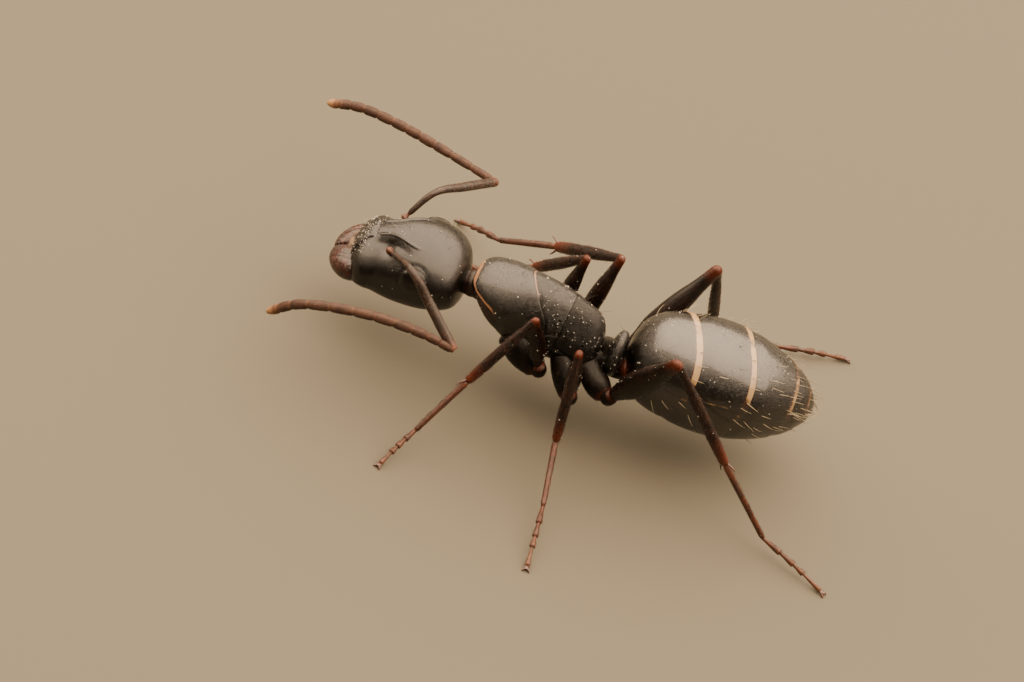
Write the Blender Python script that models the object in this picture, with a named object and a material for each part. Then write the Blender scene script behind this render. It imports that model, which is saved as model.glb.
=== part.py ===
"""Carpenter ant worker, life size, standing in a walking pose.

All sizes are millimetres until the last step of each mesh, which scales to metres.
The ant faces -X, its left side faces -Y, and the feet stand on z = 0.
"""

import math

import bmesh
import bpy
from mathutils import Matrix, Vector

MM = 0.001
CENTRE = Vector((0.42, 0.15, 0.0))  # middle of the footprint, moved to the origin
GAP = 0.03  # clearance between neighbouring solids
WELD = 1e-5  # mm, joins only points that coincide

# Head: its axis runs to the rear and up, from mandibles to nape.
HEAD_CENTRE = Vector((-3.19, 0.07, 1.74))
HEAD_PITCH = 14.2
HEAD_MIDDLE = 0.20  # middle of the capsule along the head's own axis
HEAD_LENGTH = 2.32
HEAD_WIDTH = (0.0, 0.76, 0.95, 1.06, 1.01, 0.70, 0.0)
HEAD_TOP = (0.0, 0.50, 0.73, 0.86, 0.78, 0.48, 0.0)
HEAD_UNDER = (0.0, 0.37, 0.52, 0.62, 0.66, 0.60, 0.0)
EYE_PLACE = (0.46, 0.92, 0.33)
EYE_RADII = (0.26, 0.12, 0.22)
EYE_TILT = 24
MANDIBLE_LENGTH = 0.88
MANDIBLE_PLACE = (-0.94, 0.44, -0.02)
MANDIBLE_WIDTH = 0.38  # half width across the head
MANDIBLE_DEPTH = 0.31  # half depth
MANDIBLE_CURL = 0.26  # how far the tip swings in
MANDIBLE_SQUARE = 0.75  # power under 1 that fills the inner side
MANDIBLE_DROOP = 0.08  # how far the tip hangs
MANDIBLE_TAPER = 0.15  # share of the depth lost at the tip

# Trunk: half widths and top and bottom heights at seven even turns from front to rear.
TRUNK_FRONT = -1.85
TRUNK_REAR = 0.97
TRUNK_WIDTH = (0.0, 0.48, 0.71, 0.62, 0.52, 0.42, 0.0)
TRUNK_TOP = (2.14, 2.57, 2.74, 2.80, 2.71, 2.48, 1.79)
TRUNK_BOTTOM = (2.14, 1.94, 1.475, 1.20, 1.23, 1.31, 1.79)
TRUNK_SQUARE = 0.8  # power of sine and cosine below the middle; less than 1 fills the corners
# The pronotum is a shield whose rear corner points back along the flank, between two planes.
SHIELD_PLANES = (
    (Vector((-0.62, 0.0, 2.75)), Vector((0.69, 0.0, 0.72))),
    (Vector((-0.05, 0.0, 2.15)), Vector((0.63, 0.0, -0.78))),
)
GROOVE_PLANE = (Vector((0.17, 0.0, 2.10)), Vector((0.99, 0.0, -0.05)))  # mesonotum to propodeum

PETIOLE_CENTRE = Vector((1.262, 0.0, 1.82))
PETIOLE_RADII = (0.182, 0.42, 0.56)
PETIOLE_FOOT = 0.07  # how much longer the scale is at its foot
PETIOLE_SQUARE = 0.8  # power under 1 that keeps the scale thick towards its rim

# Gaster: an egg that turns to the ant's right and droops.
GASTER_FRONT = Vector((1.53, -0.05, 2.09))
GASTER_YAW = 22.0
GASTER_DROOP = 11.0
GASTER_LENGTH = 3.96
GASTER_WIDTH = (0.0, 0.80, 1.10, 1.16, 0.925, 0.50, 0.0)
GASTER_TOP = (0.0, 0.81, 1.09, 1.15, 0.91, 0.51, 0.0)
GASTER_UNDER = (0.0, 0.77, 1.03, 1.10, 0.89, 0.50, 0.0)
GASTER_CUTS = (0.95, 2.10, 3.26, 3.68)

# Antennae: scape from socket to elbow, then the funiculus, by their way points.
FEELER_RADIUS = 0.25
FEELER_BASE = 0.8  # shares of the radius at the socket and over the last two steps
FEELER_TIP = (0.9, 0.55)
SOCKET_PLACE = (-0.16, 0.48, 0.67)  # on the head's own axes
SCAPES = {
    "left": ((-2.90, -1.40, 2.91), (-2.33, -1.64, 2.53), (-1.58, -1.98, 2.02)),
    "right": ((-3.14, 1.00, 2.80), (-2.66, 1.75, 2.62), (-2.19, 2.57, 2.33)),
}
FUNICULI = {
    "left": ((-1.58, -1.98, 2.02), (-2.33, -2.20, 2.28), (-3.34, -2.35, 2.29),
             (-4.47, -2.35, 1.89), (-5.09, -2.20, 1.19)),
    "right": ((-2.19, 2.57, 2.33), (-3.43, 3.00, 2.18), (-4.31, 3.15, 2.17),
              (-5.15, 3.20, 2.13), (-5.81, 3.20, 1.90)),
}

# Legs: segment lengths of each pair, and radii of the solids.
LEG_LENGTHS = {
    "front": {"femur": 1.80, "tibia": 1.80, "heel": 1.35, "toes": 1.00},
    "middle": {"femur": 2.00, "tibia": 2.00, "heel": 1.35, "toes": 1.40},
    "hind": {"femur": 2.60, "tibia": 2.50, "heel": 1.85, "toes": 1.48},
}
COXA_BASES = {"front": (-0.88, 0.44, 1.55), "middle": (0.32, 0.34, 1.40), "hind": (0.79, 0.30, 1.50)}
COXA_RADII = {"front": (0.36, 0.34, 0.19), "middle": (0.27, 0.25, 0.18), "hind": (0.26, 0.27, 0.18)}
# Each leg: hip (x, y outward, z), headings of femur, tibia, heel and toes in degrees from
# straight out towards the rear, and lifts of the first three above the level.
LEGS = {
    "front_left": {"hip": (0.06, 0.64, 1.17), "headings": (-40, -49, -32, -21), "lifts": (66.4, -59, -43)},
    "middle_left": {"hip": (0.79, 0.82, 1.01), "headings": (-14, 41, 13, 7), "lifts": (67, -78, -25)},
    "hind_left": {"hip": (1.42, 0.70, 1.30), "headings": (49, 94, 91, 73), "lifts": (61, -50, -47)},
    "front_right": {"hip": (-0.13, 0.85, 1.08), "headings": (48, -49, -58, -63), "lifts": (83.5, -51, -52)},
    "middle_right": {"hip": (0.33, 0.98, 0.86), "headings": (29, -52, -72, -45), "lifts": (72, -38, -34)},
    "hind_right": {"hip": (1.34, 1.10, 0.87), "headings": (47.6, 31, 48, 66), "lifts": (56.3, -69, -17)},
}
TROCHANTER_LENGTH = 0.34
TROCHANTER_RADIUS = 0.19
FEMUR_RADIUS = {"front": 0.25, "middle": 0.25, "hind": 0.27}
SHANK_RADIUS = 0.25
TOE_RADIUS = 0.20
# Shares of those radii from the near end of each segment to its far end.
COXA_START = 0.8
TROCHANTER_TAPER = (1.0, 1.1, 1.0)
FEMUR_TAPER = (1.0, 1.0, 0.95, 0.75)  # after a start as thick as the trochanter
TIBIA_TAPER = (0.7, 1.0, 1.0, 1.0)
TOE_TAPER = (1.15, 1.05, 1.0)
CLAW_HEIGHT = 0.06  # centre line of the last tarsal segment above the floor

COLOURS = {
    "chitin": ((0.012, 0.010, 0.009, 1.0), 0.25),
    "eye": ((0.020, 0.017, 0.015, 1.0), 0.35),
    "mandible": ((0.070, 0.018, 0.010, 1.0), 0.30),
    "feeler": ((0.110, 0.045, 0.025, 1.0), 0.45),
    "leg": ((0.030, 0.014, 0.010, 1.0), 0.35),
    "foot": ((0.180, 0.060, 0.030, 1.0), 0.45),
}


def fresh_collection(name):
    collection = bpy.data.collections.new(name)
    bpy.context.scene.collection.children.link(collection)
    return collection


def make_material(name, colour, roughness):
    material = bpy.data.materials.new(name)
    material.use_nodes = True
    shader = material.node_tree.nodes["Principled BSDF"]
    shader.inputs["Base Color"].default_value = colour
    shader.inputs["Roughness"].default_value = roughness
    return material


def ring_value(values, turn):
    """Smooth curve through values spaced evenly from pole (0) to pole (1)."""
    last = len(values) - 1
    padded = (2 * values[0] - values[1], *values, 2 * values[-1] - values[-2])
    index = min(int(turn * last), last - 1)
    t = turn * last - index
    a, b, c, d = padded[index:index + 4]
    return b + 0.5 * t * (c - a + t * (2 * a - 5 * b + 4 * c - d + t * (3 * (b - c) + d - a)))


def ball(segments, rings):
    """Unit ball in a bmesh, with its poles on the X axis."""
    bm = bmesh.new()
    bmesh.ops.create_uvsphere(bm, u_segments=segments, v_segments=rings, radius=1.0)
    bmesh.ops.rotate(bm, verts=bm.verts, matrix=Matrix.Rotation(math.radians(90), 3, "Y"))
    return bm


def finish(bm, name, material, collection):
    """Turn a bmesh in millimetres into an object in metres, on the part's own origin."""
    bmesh.ops.recalc_face_normals(bm, faces=bm.faces)
    for vert in bm.verts:
        vert.co = (vert.co - CENTRE) * MM
    mesh = bpy.data.meshes.new(name)
    bm.to_mesh(mesh)
    bm.free()
    mesh.materials.append(material)
    mesh.shade_smooth()
    mesh.set_sharp_from_angle(angle=math.radians(40))
    obj = bpy.data.objects.new(name, mesh)
    collection.objects.link(obj)
    return obj


def as_cutter(obj):
    obj.hide_render = True
    obj.display_type = "WIRE"
    return obj


def subtract(obj, *cutters):
    for cutter in cutters:
        modifier = obj.modifiers.new("cut " + cutter.name, "BOOLEAN")
        modifier.operation = "DIFFERENCE"
        modifier.solver = "EXACT"
        modifier.object = cutter


def halve(bm, point, normal):
    """Keep what lies behind a plane, and close the cut with a flat face."""
    geometry = bm.verts[:] + bm.edges[:] + bm.faces[:]
    bmesh.ops.bisect_plane(bm, geom=geometry, dist=WELD, plane_co=point, plane_no=normal, clear_outer=True)
    rim = [edge for edge in bm.edges if edge.is_boundary]
    if rim:
        bmesh.ops.holes_fill(bm, edges=rim, sides=0)


def smooth_path(points, steps):
    """Evenly stepped curve through way points."""
    axes = list(zip(*points))
    return [Vector([ring_value(axis, i / steps) for axis in axes]) for i in range(steps + 1)]


def tube(path, radii):
    """Bevelled curve along a path, with its own radius at each point, as a closed bmesh."""
    curve = bpy.data.curves.new("tube", "CURVE")
    curve.dimensions = "3D"
    curve.bevel_depth = 1.0
    curve.bevel_resolution = 1
    curve.use_fill_caps = True
    spline = curve.splines.new("POLY")
    spline.points.add(len(path) - 1)
    for point, place, radius in zip(spline.points, path, radii):
        point.co = (*place, 1.0)
        point.radius = radius
    holder = bpy.data.objects.new("tube", curve)
    bpy.context.scene.collection.objects.link(holder)
    bpy.context.view_layer.update()
    mesh = bpy.data.meshes.new_from_object(holder.evaluated_get(bpy.context.evaluated_depsgraph_get()))
    bm = bmesh.new()
    bm.from_mesh(mesh)
    bmesh.ops.remove_doubles(bm, verts=bm.verts, dist=WELD)
    bpy.data.objects.remove(holder)
    bpy.data.curves.remove(curve)
    bpy.data.meshes.remove(mesh)
    return bm


def tapered(start, end, profile, steps=6):
    """Path and radii of a straight limb between two joints."""
    turns = [i / steps for i in range(steps + 1)]
    return [start.lerp(end, turn) for turn in turns], [ring_value(profile, turn) for turn in turns]


def head_frame():
    return Matrix.Translation(HEAD_CENTRE) @ Matrix.Rotation(math.radians(-HEAD_PITCH), 4, "Y")


def gaster_frame():
    turn = Matrix.Rotation(math.radians(GASTER_YAW), 4, "Z") @ Matrix.Rotation(math.radians(GASTER_DROOP), 4, "Y")
    return Matrix.Translation(GASTER_FRONT) @ turn


def lobe(half_length, middle, widths, tops, unders, grow=0.0, segments=26, rings=16):
    """Ball reshaped to half widths, top and under depths that change along its axis."""
    bm = ball(segments, rings)
    for vert in bm.verts:
        x, y, z = vert.co
        turn = math.acos(max(-1.0, min(1.0, -x))) / math.pi
        swell = math.hypot(y, z)
        if swell > 1e-6:
            y, z = y / swell, z / swell
        depth = ring_value(tops if z > 0 else unders, turn)
        vert.co = (
            middle + (half_length + grow) * x,
            y * (ring_value(widths, turn) + grow * swell),
            z * (depth + grow * swell),
        )
    return bm


def head_shape(grow=0.0):
    bm = lobe(HEAD_LENGTH / 2, HEAD_MIDDLE, HEAD_WIDTH, HEAD_TOP, HEAD_UNDER, grow)
    bmesh.ops.transform(bm, matrix=head_frame(), verts=bm.verts)
    return bm


def eye_shape(side, grow=0.0):
    bm = ball(14, 10)
    radii = Vector(EYE_RADII) + Vector((grow, grow, grow))
    place = Matrix.Translation((EYE_PLACE[0], side * EYE_PLACE[1], EYE_PLACE[2]))
    tilt = Matrix.Rotation(side * math.radians(EYE_TILT), 4, "X")
    bmesh.ops.transform(bm, matrix=head_frame() @ place @ tilt @ Matrix.Diagonal((*radii, 1.0)), verts=bm.verts)
    return bm


def mandible_shape(side):
    """Broad rounded jaw that curves in to meet its partner at the middle."""
    bm = ball(16, 12)
    for vert in bm.verts:
        x, y, z = vert.co
        reach = 0.5 * (1 - x)  # 0 at the hinge, 1 at the tip
        full = -abs(y) ** MANDIBLE_SQUARE if y < 0 else y
        across = MANDIBLE_WIDTH * full - MANDIBLE_CURL * reach ** 2
        vert.co = (
            MANDIBLE_PLACE[0] + 0.5 * MANDIBLE_LENGTH * x,
            side * max(MANDIBLE_PLACE[1] + across, 0.5 * GAP),
            MANDIBLE_PLACE[2] - MANDIBLE_DROOP * reach + MANDIBLE_DEPTH * z * (1 - MANDIBLE_TAPER * reach),
        )
    bmesh.ops.transform(bm, matrix=head_frame(), verts=bm.verts)
    return bm


def trunk_shape(grow=0.0):
    """Whole mesosoma: a ball whose rings follow the widths and heights along X, squarer below."""
    bm = ball(26, 22)
    half = (TRUNK_REAR - TRUNK_FRONT) / 2
    middle = (TRUNK_REAR + TRUNK_FRONT) / 2
    for vert in bm.verts:
        x, y, z = vert.co
        turn = math.acos(max(-1.0, min(1.0, -x))) / math.pi
        swell = math.hypot(y, z)
        if swell > 1e-6:
            y, z = y / swell, z / swell
        if z < 0:
            y, z = (math.copysign(abs(part) ** TRUNK_SQUARE, part) for part in (y, z))
        top, bottom = ring_value(TRUNK_TOP, turn), ring_value(TRUNK_BOTTOM, turn)
        vert.co = (
            middle + (half + grow) * x,
            y * (ring_value(TRUNK_WIDTH, turn) + grow * swell),
            (top + bottom) / 2 + z * ((top - bottom) / 2 + grow * swell),
        )
    return bm


def petiole_shape():
    """Upright scale, thicker at its foot, where it meets the trunk and the gaster."""
    bm = ball(18, 14)
    for vert in bm.verts:
        x, y, z = vert.co
        foot = max(0.0, -z) ** 2
        thick = PETIOLE_RADII[0] + PETIOLE_FOOT * foot
        x = math.copysign(abs(x) ** PETIOLE_SQUARE, x)
        vert.co = PETIOLE_CENTRE + Vector((x * thick, y * PETIOLE_RADII[1] * (1 - 0.5 * foot), z * PETIOLE_RADII[2]))
    return bm


def gaster_shape(grow=0.0):
    bm = lobe(GASTER_LENGTH / 2, GASTER_LENGTH / 2, GASTER_WIDTH, GASTER_TOP, GASTER_UNDER, grow, 28, 20)
    bmesh.ops.transform(bm, matrix=gaster_frame(), verts=bm.verts)
    return bm


def build_head(parts, cutters, materials):
    head = finish(head_shape(), "head", materials["chitin"], parts)
    grown_head = as_cutter(finish(head_shape(GAP), "grown_head", materials["chitin"], cutters))
    for word, side in (("left", -1), ("right", 1)):
        finish(eye_shape(side), "eye_" + word, materials["eye"], parts)
        pocket = as_cutter(finish(eye_shape(side, GAP), "pocket_" + word, materials["eye"], cutters))
        subtract(head, pocket)
        mandible = finish(mandible_shape(side), "mandible_" + word, materials["mandible"], parts)
        subtract(mandible, grown_head)
        build_feeler(word, parts, materials, grown_head)
    return grown_head


def build_feeler(word, parts, materials, grown_head):
    """Scape and funiculus, parted at the elbow by the plane that halves their angle."""
    side = -1 if word == "left" else 1
    socket = head_frame() @ Vector((SOCKET_PLACE[0], side * SOCKET_PLACE[1], SOCKET_PLACE[2]))
    scape_path = smooth_path((tuple(socket), *SCAPES[word]), 6)
    scape_radii = [FEELER_BASE * FEELER_RADIUS] + [FEELER_RADIUS] * 6
    whip_path = smooth_path(FUNICULI[word], 12)
    whip_radii = [FEELER_RADIUS] * 11 + [share * FEELER_RADIUS for share in FEELER_TIP]
    elbow = scape_path[-1]
    bend = ((elbow - scape_path[-2]).normalized() + (whip_path[1] - elbow).normalized()).normalized()
    scape = tube(scape_path, scape_radii)
    halve(scape, elbow - bend * GAP / 2, bend)
    whip = tube(whip_path, whip_radii)
    halve(whip, elbow + bend * GAP / 2, -bend)
    scape_object = finish(scape, "scape_" + word, materials["feeler"], parts)
    subtract(scape_object, grown_head)
    finish(whip, "funiculus_" + word, materials["feeler"], parts)


def build_trunk(parts, cutters, materials, grown_head):
    """Pronotum shield, mesonotum and propodeum, parted from one shape, and the petiole scale."""
    pronotum = trunk_shape()
    for point, normal in SHIELD_PLANES:
        halve(pronotum, point, normal)
    subtract(finish(pronotum, "pronotum", materials["chitin"], parts), grown_head)

    shield_room = trunk_shape(GAP)
    for point, normal in SHIELD_PLANES:
        halve(shield_room, point + normal * GAP, normal)
    shield_room = as_cutter(finish(shield_room, "shield_room", materials["chitin"], cutters))
    point, normal = GROOVE_PLANE
    mesonotum = trunk_shape()
    halve(mesonotum, point - normal * GAP / 2, normal)
    subtract(finish(mesonotum, "mesonotum", materials["chitin"], parts), shield_room, grown_head)

    propodeum = trunk_shape()
    halve(propodeum, point + normal * GAP / 2, -normal)
    finish(propodeum, "propodeum", materials["chitin"], parts)
    finish(petiole_shape(), "petiole", materials["chitin"], parts)


def build_gaster(parts, materials):
    """Five segments of one egg, parted square to its axis."""
    frame = gaster_frame()
    axis = (frame.to_3x3() @ Vector((1, 0, 0))).normalized()
    cuts = [GASTER_FRONT + axis * cut for cut in GASTER_CUTS]
    for index in range(len(cuts) + 1):
        bm = gaster_shape()
        if index > 0:
            halve(bm, cuts[index - 1] + axis * GAP / 2, -axis)
        if index < len(cuts):
            halve(bm, cuts[index] - axis * GAP / 2, axis)
        finish(bm, "gaster_%d" % (index + 1), materials["chitin"], parts)


def leg_joints(name):
    """Hip, knee, ankle, heel end and claw of a leg, from its headings and lifts."""
    pair, word = name.split("_")
    side = -1 if word == "left" else 1
    lengths = LEG_LENGTHS[pair]
    pose = LEGS[name]
    x, y, z = pose["hip"]
    joints = [Vector((x, side * y, z))]
    for index, segment in enumerate(("femur", "tibia", "heel", "toes")):
        length = lengths[segment]
        if segment == "toes":
            lift = math.asin((CLAW_HEIGHT - joints[-1].z) / length)
        else:
            lift = math.radians(pose["lifts"][index])
        heading = math.radians(pose["headings"][index])
        level = math.cos(lift)
        step = Vector((math.sin(heading) * level, side * math.cos(heading) * level, math.sin(lift)))
        joints.append(joints[-1] + step * length)
    return joints


def mitre(before, joint, after):
    """Plane that halves the bend at a joint, as its normal."""
    return ((joint - before).normalized() + (after - joint).normalized()).normalized()


def limb(path, radii, cuts):
    """Tube along a path, trimmed by each (point, normal) plane."""
    bm = tube(path, radii)
    for point, normal in cuts:
        halve(bm, point, normal)
    return bm


def build_leg(name, parts, materials, grown_trunk):
    pair, word = name.split("_")
    side = -1 if word == "left" else 1
    hip, knee, ankle, heel, claw = leg_joints(name)
    base = Vector(COXA_BASES[pair])
    base.y *= side
    ring = hip + (knee - hip).normalized() * TROCHANTER_LENGTH
    thigh = FEMUR_RADIUS[pair]
    hip_cut = mitre(base, hip, knee)
    knee_cut = mitre(hip, knee, ankle)
    ankle_cut = mitre(knee, ankle, heel)
    ring_cut = (knee - hip).normalized()
    half = GAP / 2

    path, radii = tapered(base, hip, (COXA_START * COXA_RADII[pair][0], *COXA_RADII[pair]))
    coxa = limb(path, radii, [(hip - hip_cut * half, hip_cut)])
    subtract(finish(coxa, "coxa_" + name, materials["leg"], parts), grown_trunk)

    path, radii = tapered(hip, ring, [TROCHANTER_RADIUS * share for share in TROCHANTER_TAPER], 3)
    trochanter = limb(path, radii, [(hip + hip_cut * half, -hip_cut), (ring - ring_cut * half, ring_cut)])
    finish(trochanter, "trochanter_" + name, materials["leg"], parts)

    path, radii = tapered(ring, knee, [TROCHANTER_RADIUS] + [thigh * share for share in FEMUR_TAPER])
    femur = limb(path, radii, [(ring + ring_cut * half, -ring_cut), (knee - knee_cut * half, knee_cut)])
    finish(femur, "femur_" + name, materials["leg"], parts)

    path, radii = tapered(knee, ankle, [SHANK_RADIUS * share for share in TIBIA_TAPER])
    tibia = limb(path, radii, [(knee + knee_cut * half, -knee_cut), (ankle - ankle_cut * half, ankle_cut)])
    finish(tibia, "tibia_" + name, materials["leg"], parts)

    path = [ankle, ankle.lerp(heel, 0.5), heel, heel.lerp(claw, 0.35), heel.lerp(claw, 0.7), claw]
    radii = [SHANK_RADIUS] * 3 + [TOE_RADIUS * share for share in TOE_TAPER]
    tarsus = limb(path, radii, [(ankle + ankle_cut * half, -ankle_cut), (Vector((0, 0, 0)), Vector((0, 0, -1)))])
    finish(tarsus, "tarsus_" + name, materials["foot"], parts)


def build_ant():
    for obj in list(bpy.data.objects):
        bpy.data.objects.remove(obj)
    parts = fresh_collection("carpenter_ant")
    cutters = fresh_collection("cutters")
    materials = {name: make_material(name, *look) for name, look in COLOURS.items()}
    grown_head = build_head(parts, cutters, materials)
    build_trunk(parts, cutters, materials, grown_head)
    build_gaster(parts, materials)
    grown_trunk = as_cutter(finish(trunk_shape(GAP), "grown_trunk", materials["chitin"], cutters))
    for name in LEGS:
        build_leg(name, parts, materials, grown_trunk)


build_ant()
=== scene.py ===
import bpy
import numpy as np
from mathutils import Matrix


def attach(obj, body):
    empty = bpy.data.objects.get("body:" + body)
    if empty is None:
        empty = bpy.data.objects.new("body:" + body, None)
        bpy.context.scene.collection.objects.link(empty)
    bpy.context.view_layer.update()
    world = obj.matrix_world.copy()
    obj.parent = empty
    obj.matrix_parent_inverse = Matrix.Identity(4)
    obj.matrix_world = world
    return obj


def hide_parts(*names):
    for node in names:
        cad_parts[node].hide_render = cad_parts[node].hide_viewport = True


# black carpenter ant worker at life size: shell plates, limbs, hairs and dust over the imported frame
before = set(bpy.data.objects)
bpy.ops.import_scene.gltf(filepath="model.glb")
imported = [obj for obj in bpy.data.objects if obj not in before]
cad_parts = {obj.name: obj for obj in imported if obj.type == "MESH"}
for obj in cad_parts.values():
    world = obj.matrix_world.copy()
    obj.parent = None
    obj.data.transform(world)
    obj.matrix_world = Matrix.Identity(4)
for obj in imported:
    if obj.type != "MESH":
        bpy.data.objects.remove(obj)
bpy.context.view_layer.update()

mm = 0.001
antOrigin = np.array([0.42, 0.15, 0.0])  # from the ant's own middle to the middle of its footprint, mm
random = np.random.default_rng(11)
sides = {"left": -1, "right": 1}


# shapes: all in mm, x to the rear, y to the ant's right, z up

def smoothValues(values, turn):
    # smooth curve through evenly spaced values: a cubic whose slope at each value is half
    # the step between its two neighbours
    v = np.asarray(values, float)
    last = len(v) - 1
    padded = np.concatenate(([2 * v[0] - v[1]], v, [2 * v[-1] - v[-2]]))
    place = np.clip(turn, 0, 1) * last
    index = np.minimum(place.astype(int), last - 1)
    t = place - index
    if v.ndim > 1:
        t = t[..., None]
    a, b, c, d = (padded[index + k] for k in range(4))
    return b + 0.5 * t * (c - a + t * (2 * a - 5 * b + 4 * c - d + t * (3 * (b - c) + d - a)))


def rise(x, start, end):
    # 0 before start, 1 after end, and 3t^2 - 2t^3 between
    t = np.clip((x - start) / (end - start), 0, 1)
    return t * t * (3 - 2 * t)


def span(x, start, full, ebb, end):
    # rises from start to full, stays 1, and sinks from ebb to end
    return rise(x, start, full) * (1 - rise(x, ebb, end))


def bell(x, width):
    # e to the minus (x / width) squared
    return np.exp(-(x / width) ** 2)


def spread(rows, cols):
    # one value for each row, the same in every column
    return np.repeat(rows[:, None], cols, axis=1)


def ringAngles(cols):
    # even steps round a circle: 2 pi k / cols
    return np.arange(cols) * 2 * np.pi / cols


def turnAbout(axis, degrees):
    # matrix that turns points about one axis
    return np.array(Matrix.Rotation(np.radians(degrees), 3, axis))


def unit(vectors):
    # each vector divided by its own length
    return vectors / np.maximum(np.linalg.norm(vectors, axis=-1, keepdims=True), 1e-12)


def gridSteps(grid):
    # step to the next row and step to the next column, at every point
    return np.gradient(grid, axis=0), (np.roll(grid, -1, 1) - np.roll(grid, 1, 1)) / 2


def gridNormals(grid):
    # across product of the step down the rows and the step round the columns, pointing out
    normals = unit(np.cross(*gridSteps(grid)))
    outwards = grid - grid.mean(axis=1, keepdims=True)
    return normals * np.sign((normals * outwards).sum())


def pushed(grid, height):
    # each point moved along its normal by a height
    return grid + gridNormals(grid) * height[..., None]


def makeObject(name, verts, quads, tris, attributes=None, uvs=None):
    # arrays of points and faces put straight into a mesh, in metres
    flat = np.concatenate((quads.ravel(), tris.ravel())).astype(np.int32)
    sizes = np.concatenate((np.full(len(quads), 4), np.full(len(tris), 3)))
    mesh = bpy.data.meshes.new(name)
    mesh.vertices.add(len(verts))
    mesh.vertices.foreach_set("co", ((verts - antOrigin) * mm).astype(np.float32).ravel())
    mesh.loops.add(len(flat))
    mesh.loops.foreach_set("vertex_index", flat)
    mesh.polygons.add(len(sizes))
    mesh.polygons.foreach_set("loop_start", (np.cumsum(sizes) - sizes).astype(np.int32))
    mesh.update(calc_edges=True)
    mesh.shade_smooth()
    for key, values in (attributes or {}).items():
        layer = mesh.attributes.new(key, "FLOAT", "POINT")
        layer.data.foreach_set("value", values.astype(np.float32))
    if uvs is not None:
        layer = mesh.uv_layers.new(name="OFBake")
        layer.data.foreach_set("uv", uvs[flat].astype(np.float32).ravel())
    obj = bpy.data.objects.new(name, mesh)
    bpy.context.scene.collection.objects.link(obj)
    return obj


def addPiece(obj, finish, nodes=()):
    # gives a piece its finish and body, and hides the nodes it stands for
    obj.data.materials.append(finishes[finish])
    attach(obj, "root")
    if nodes:
        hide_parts(*nodes)
    return obj


def closedSurface(name, grid, finish, slot, nodes=(), **attributes):
    # rows by columns of points: columns run round, the first and last rows are one point each;
    # the faces are turned over if they enclose a volume below 0
    rows, cols = grid.shape[:2]
    verts = np.concatenate((grid[:1, 0], grid[1:-1].reshape(-1, 3), grid[-1:, 0]))
    row = np.arange(rows - 3)[:, None] * cols + 1
    here = np.arange(cols)[None, :]
    there = (here + 1) % cols
    quads = np.stack((row + here, row + there, row + there + cols, row + here + cols), -1).reshape(-1, 4)
    here, there = here[0], there[0]
    tail = (rows - 3) * cols + 1
    first = np.stack((np.zeros(cols, int), 1 + there, 1 + here), -1)
    last = np.stack((np.full(cols, len(verts) - 1), tail + here, tail + there), -1)
    tris = np.concatenate((first, last))
    corners = np.concatenate((quads[:, :3], quads[:, [0, 2, 3]], tris))
    a, b, c = (verts[corners[:, k]] - verts.mean(axis=0) for k in range(3))
    if (a * np.cross(b, c)).sum() < 0:
        quads, tris = quads[:, ::-1], tris[:, ::-1]
    values = {key: np.concatenate((v[:1, 0], v[1:-1].ravel(), v[-1:, 0])) for key, v in attributes.items()}
    return addPiece(makeObject(name, verts, quads, tris, values), finish, nodes)


def limbGrid(path, radii, side, cols=24, flat=1.0):
    # rings carried along a path: each ring is square to the path, its wide axis lies across
    # the side direction and its narrow axis, scaled by flat, lies along it
    along = unit(np.gradient(path, axis=0))
    side = np.broadcast_to(np.asarray(side, float), path.shape)
    narrow = unit(side - along * (side * along).sum(-1, keepdims=True))
    wide = np.cross(along, narrow)
    angle = ringAngles(cols)[None, :, None]
    ring = np.cos(angle) * wide[:, None] + flat * np.sin(angle) * narrow[:, None]
    return path[:, None] + ring * radii[:, None, None]


def roundEnds(steps, sharp=0.02):
    # rows from 0 to 1 with extra rows at both ends, and the share of the full radius at each
    inner = np.linspace(0, 1, steps)[1:-1] * (1 - 2 * sharp) + sharp
    rows = np.concatenate(([0], sharp * np.array([0, 0.15, 0.5]), inner,
                           1 - sharp * np.array([0.5, 0.15, 0]), [1]))
    share = np.concatenate(([0, 0.75, 0.93, 0.99], np.ones(steps - 2), [0.99, 0.93, 0.75, 0]))
    return rows, share


def domeEnds(steps, sharp):
    # rows from 0 to 1, closer together at both ends, and the share of the full radius at each,
    # which follows a half circle over the first and the last part
    rows = 0.5 - 0.5 * np.cos(np.linspace(0, np.pi, steps))
    depth = np.clip(np.minimum(rows, 1 - rows) / sharp, 0, 1)
    return rows, np.sqrt(1 - (1 - depth) ** 2)


# finishes: four effects as node groups, then one shader for each look

def nodeGroup(name, values, results):
    # group that takes a place and named values, and puts out named results
    group = bpy.data.node_groups.new(name, "ShaderNodeTree")
    group.interface.new_socket("Place", in_out="INPUT", socket_type="NodeSocketVector")
    for label, value in values.items():
        socket = group.interface.new_socket(label, in_out="INPUT", socket_type="NodeSocketFloat")
        socket.default_value = value
    for label in results:
        group.interface.new_socket(label, in_out="OUTPUT", socket_type="NodeSocketFloat")
    return group, group.nodes.new("NodeGroupInput").outputs, group.nodes.new("NodeGroupOutput").inputs


def addNode(tree, kind, settings=None, **inputs):
    # inputs are named by socket, with _ for a blank; a socket given as a value is linked
    node = tree.nodes.new(kind)
    for key, value in (settings or {}).items():
        setattr(node, key, value)
    for key, value in inputs.items():
        socket = node.inputs[int(key[1:])] if key[0] == "_" else node.inputs[key.replace("_", " ")]
        if isinstance(value, bpy.types.NodeSocket):
            tree.links.new(value, socket)
        else:
            socket.default_value = value
    return node


def addGroup(tree, group, **inputs):
    # one of the shared groups, placed with its own values
    return addNode(tree, "ShaderNodeGroup", {"node_tree": group}, **inputs).outputs


def addNoise(tree, place, scale, detail, rough=0.5):
    # soft noise from 0 to 1, with scale waves per mm
    noise = addNode(tree, "ShaderNodeTexNoise", Vector=place, Scale=scale, Detail=detail, Roughness=rough)
    return noise.outputs["Fac"]


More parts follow.
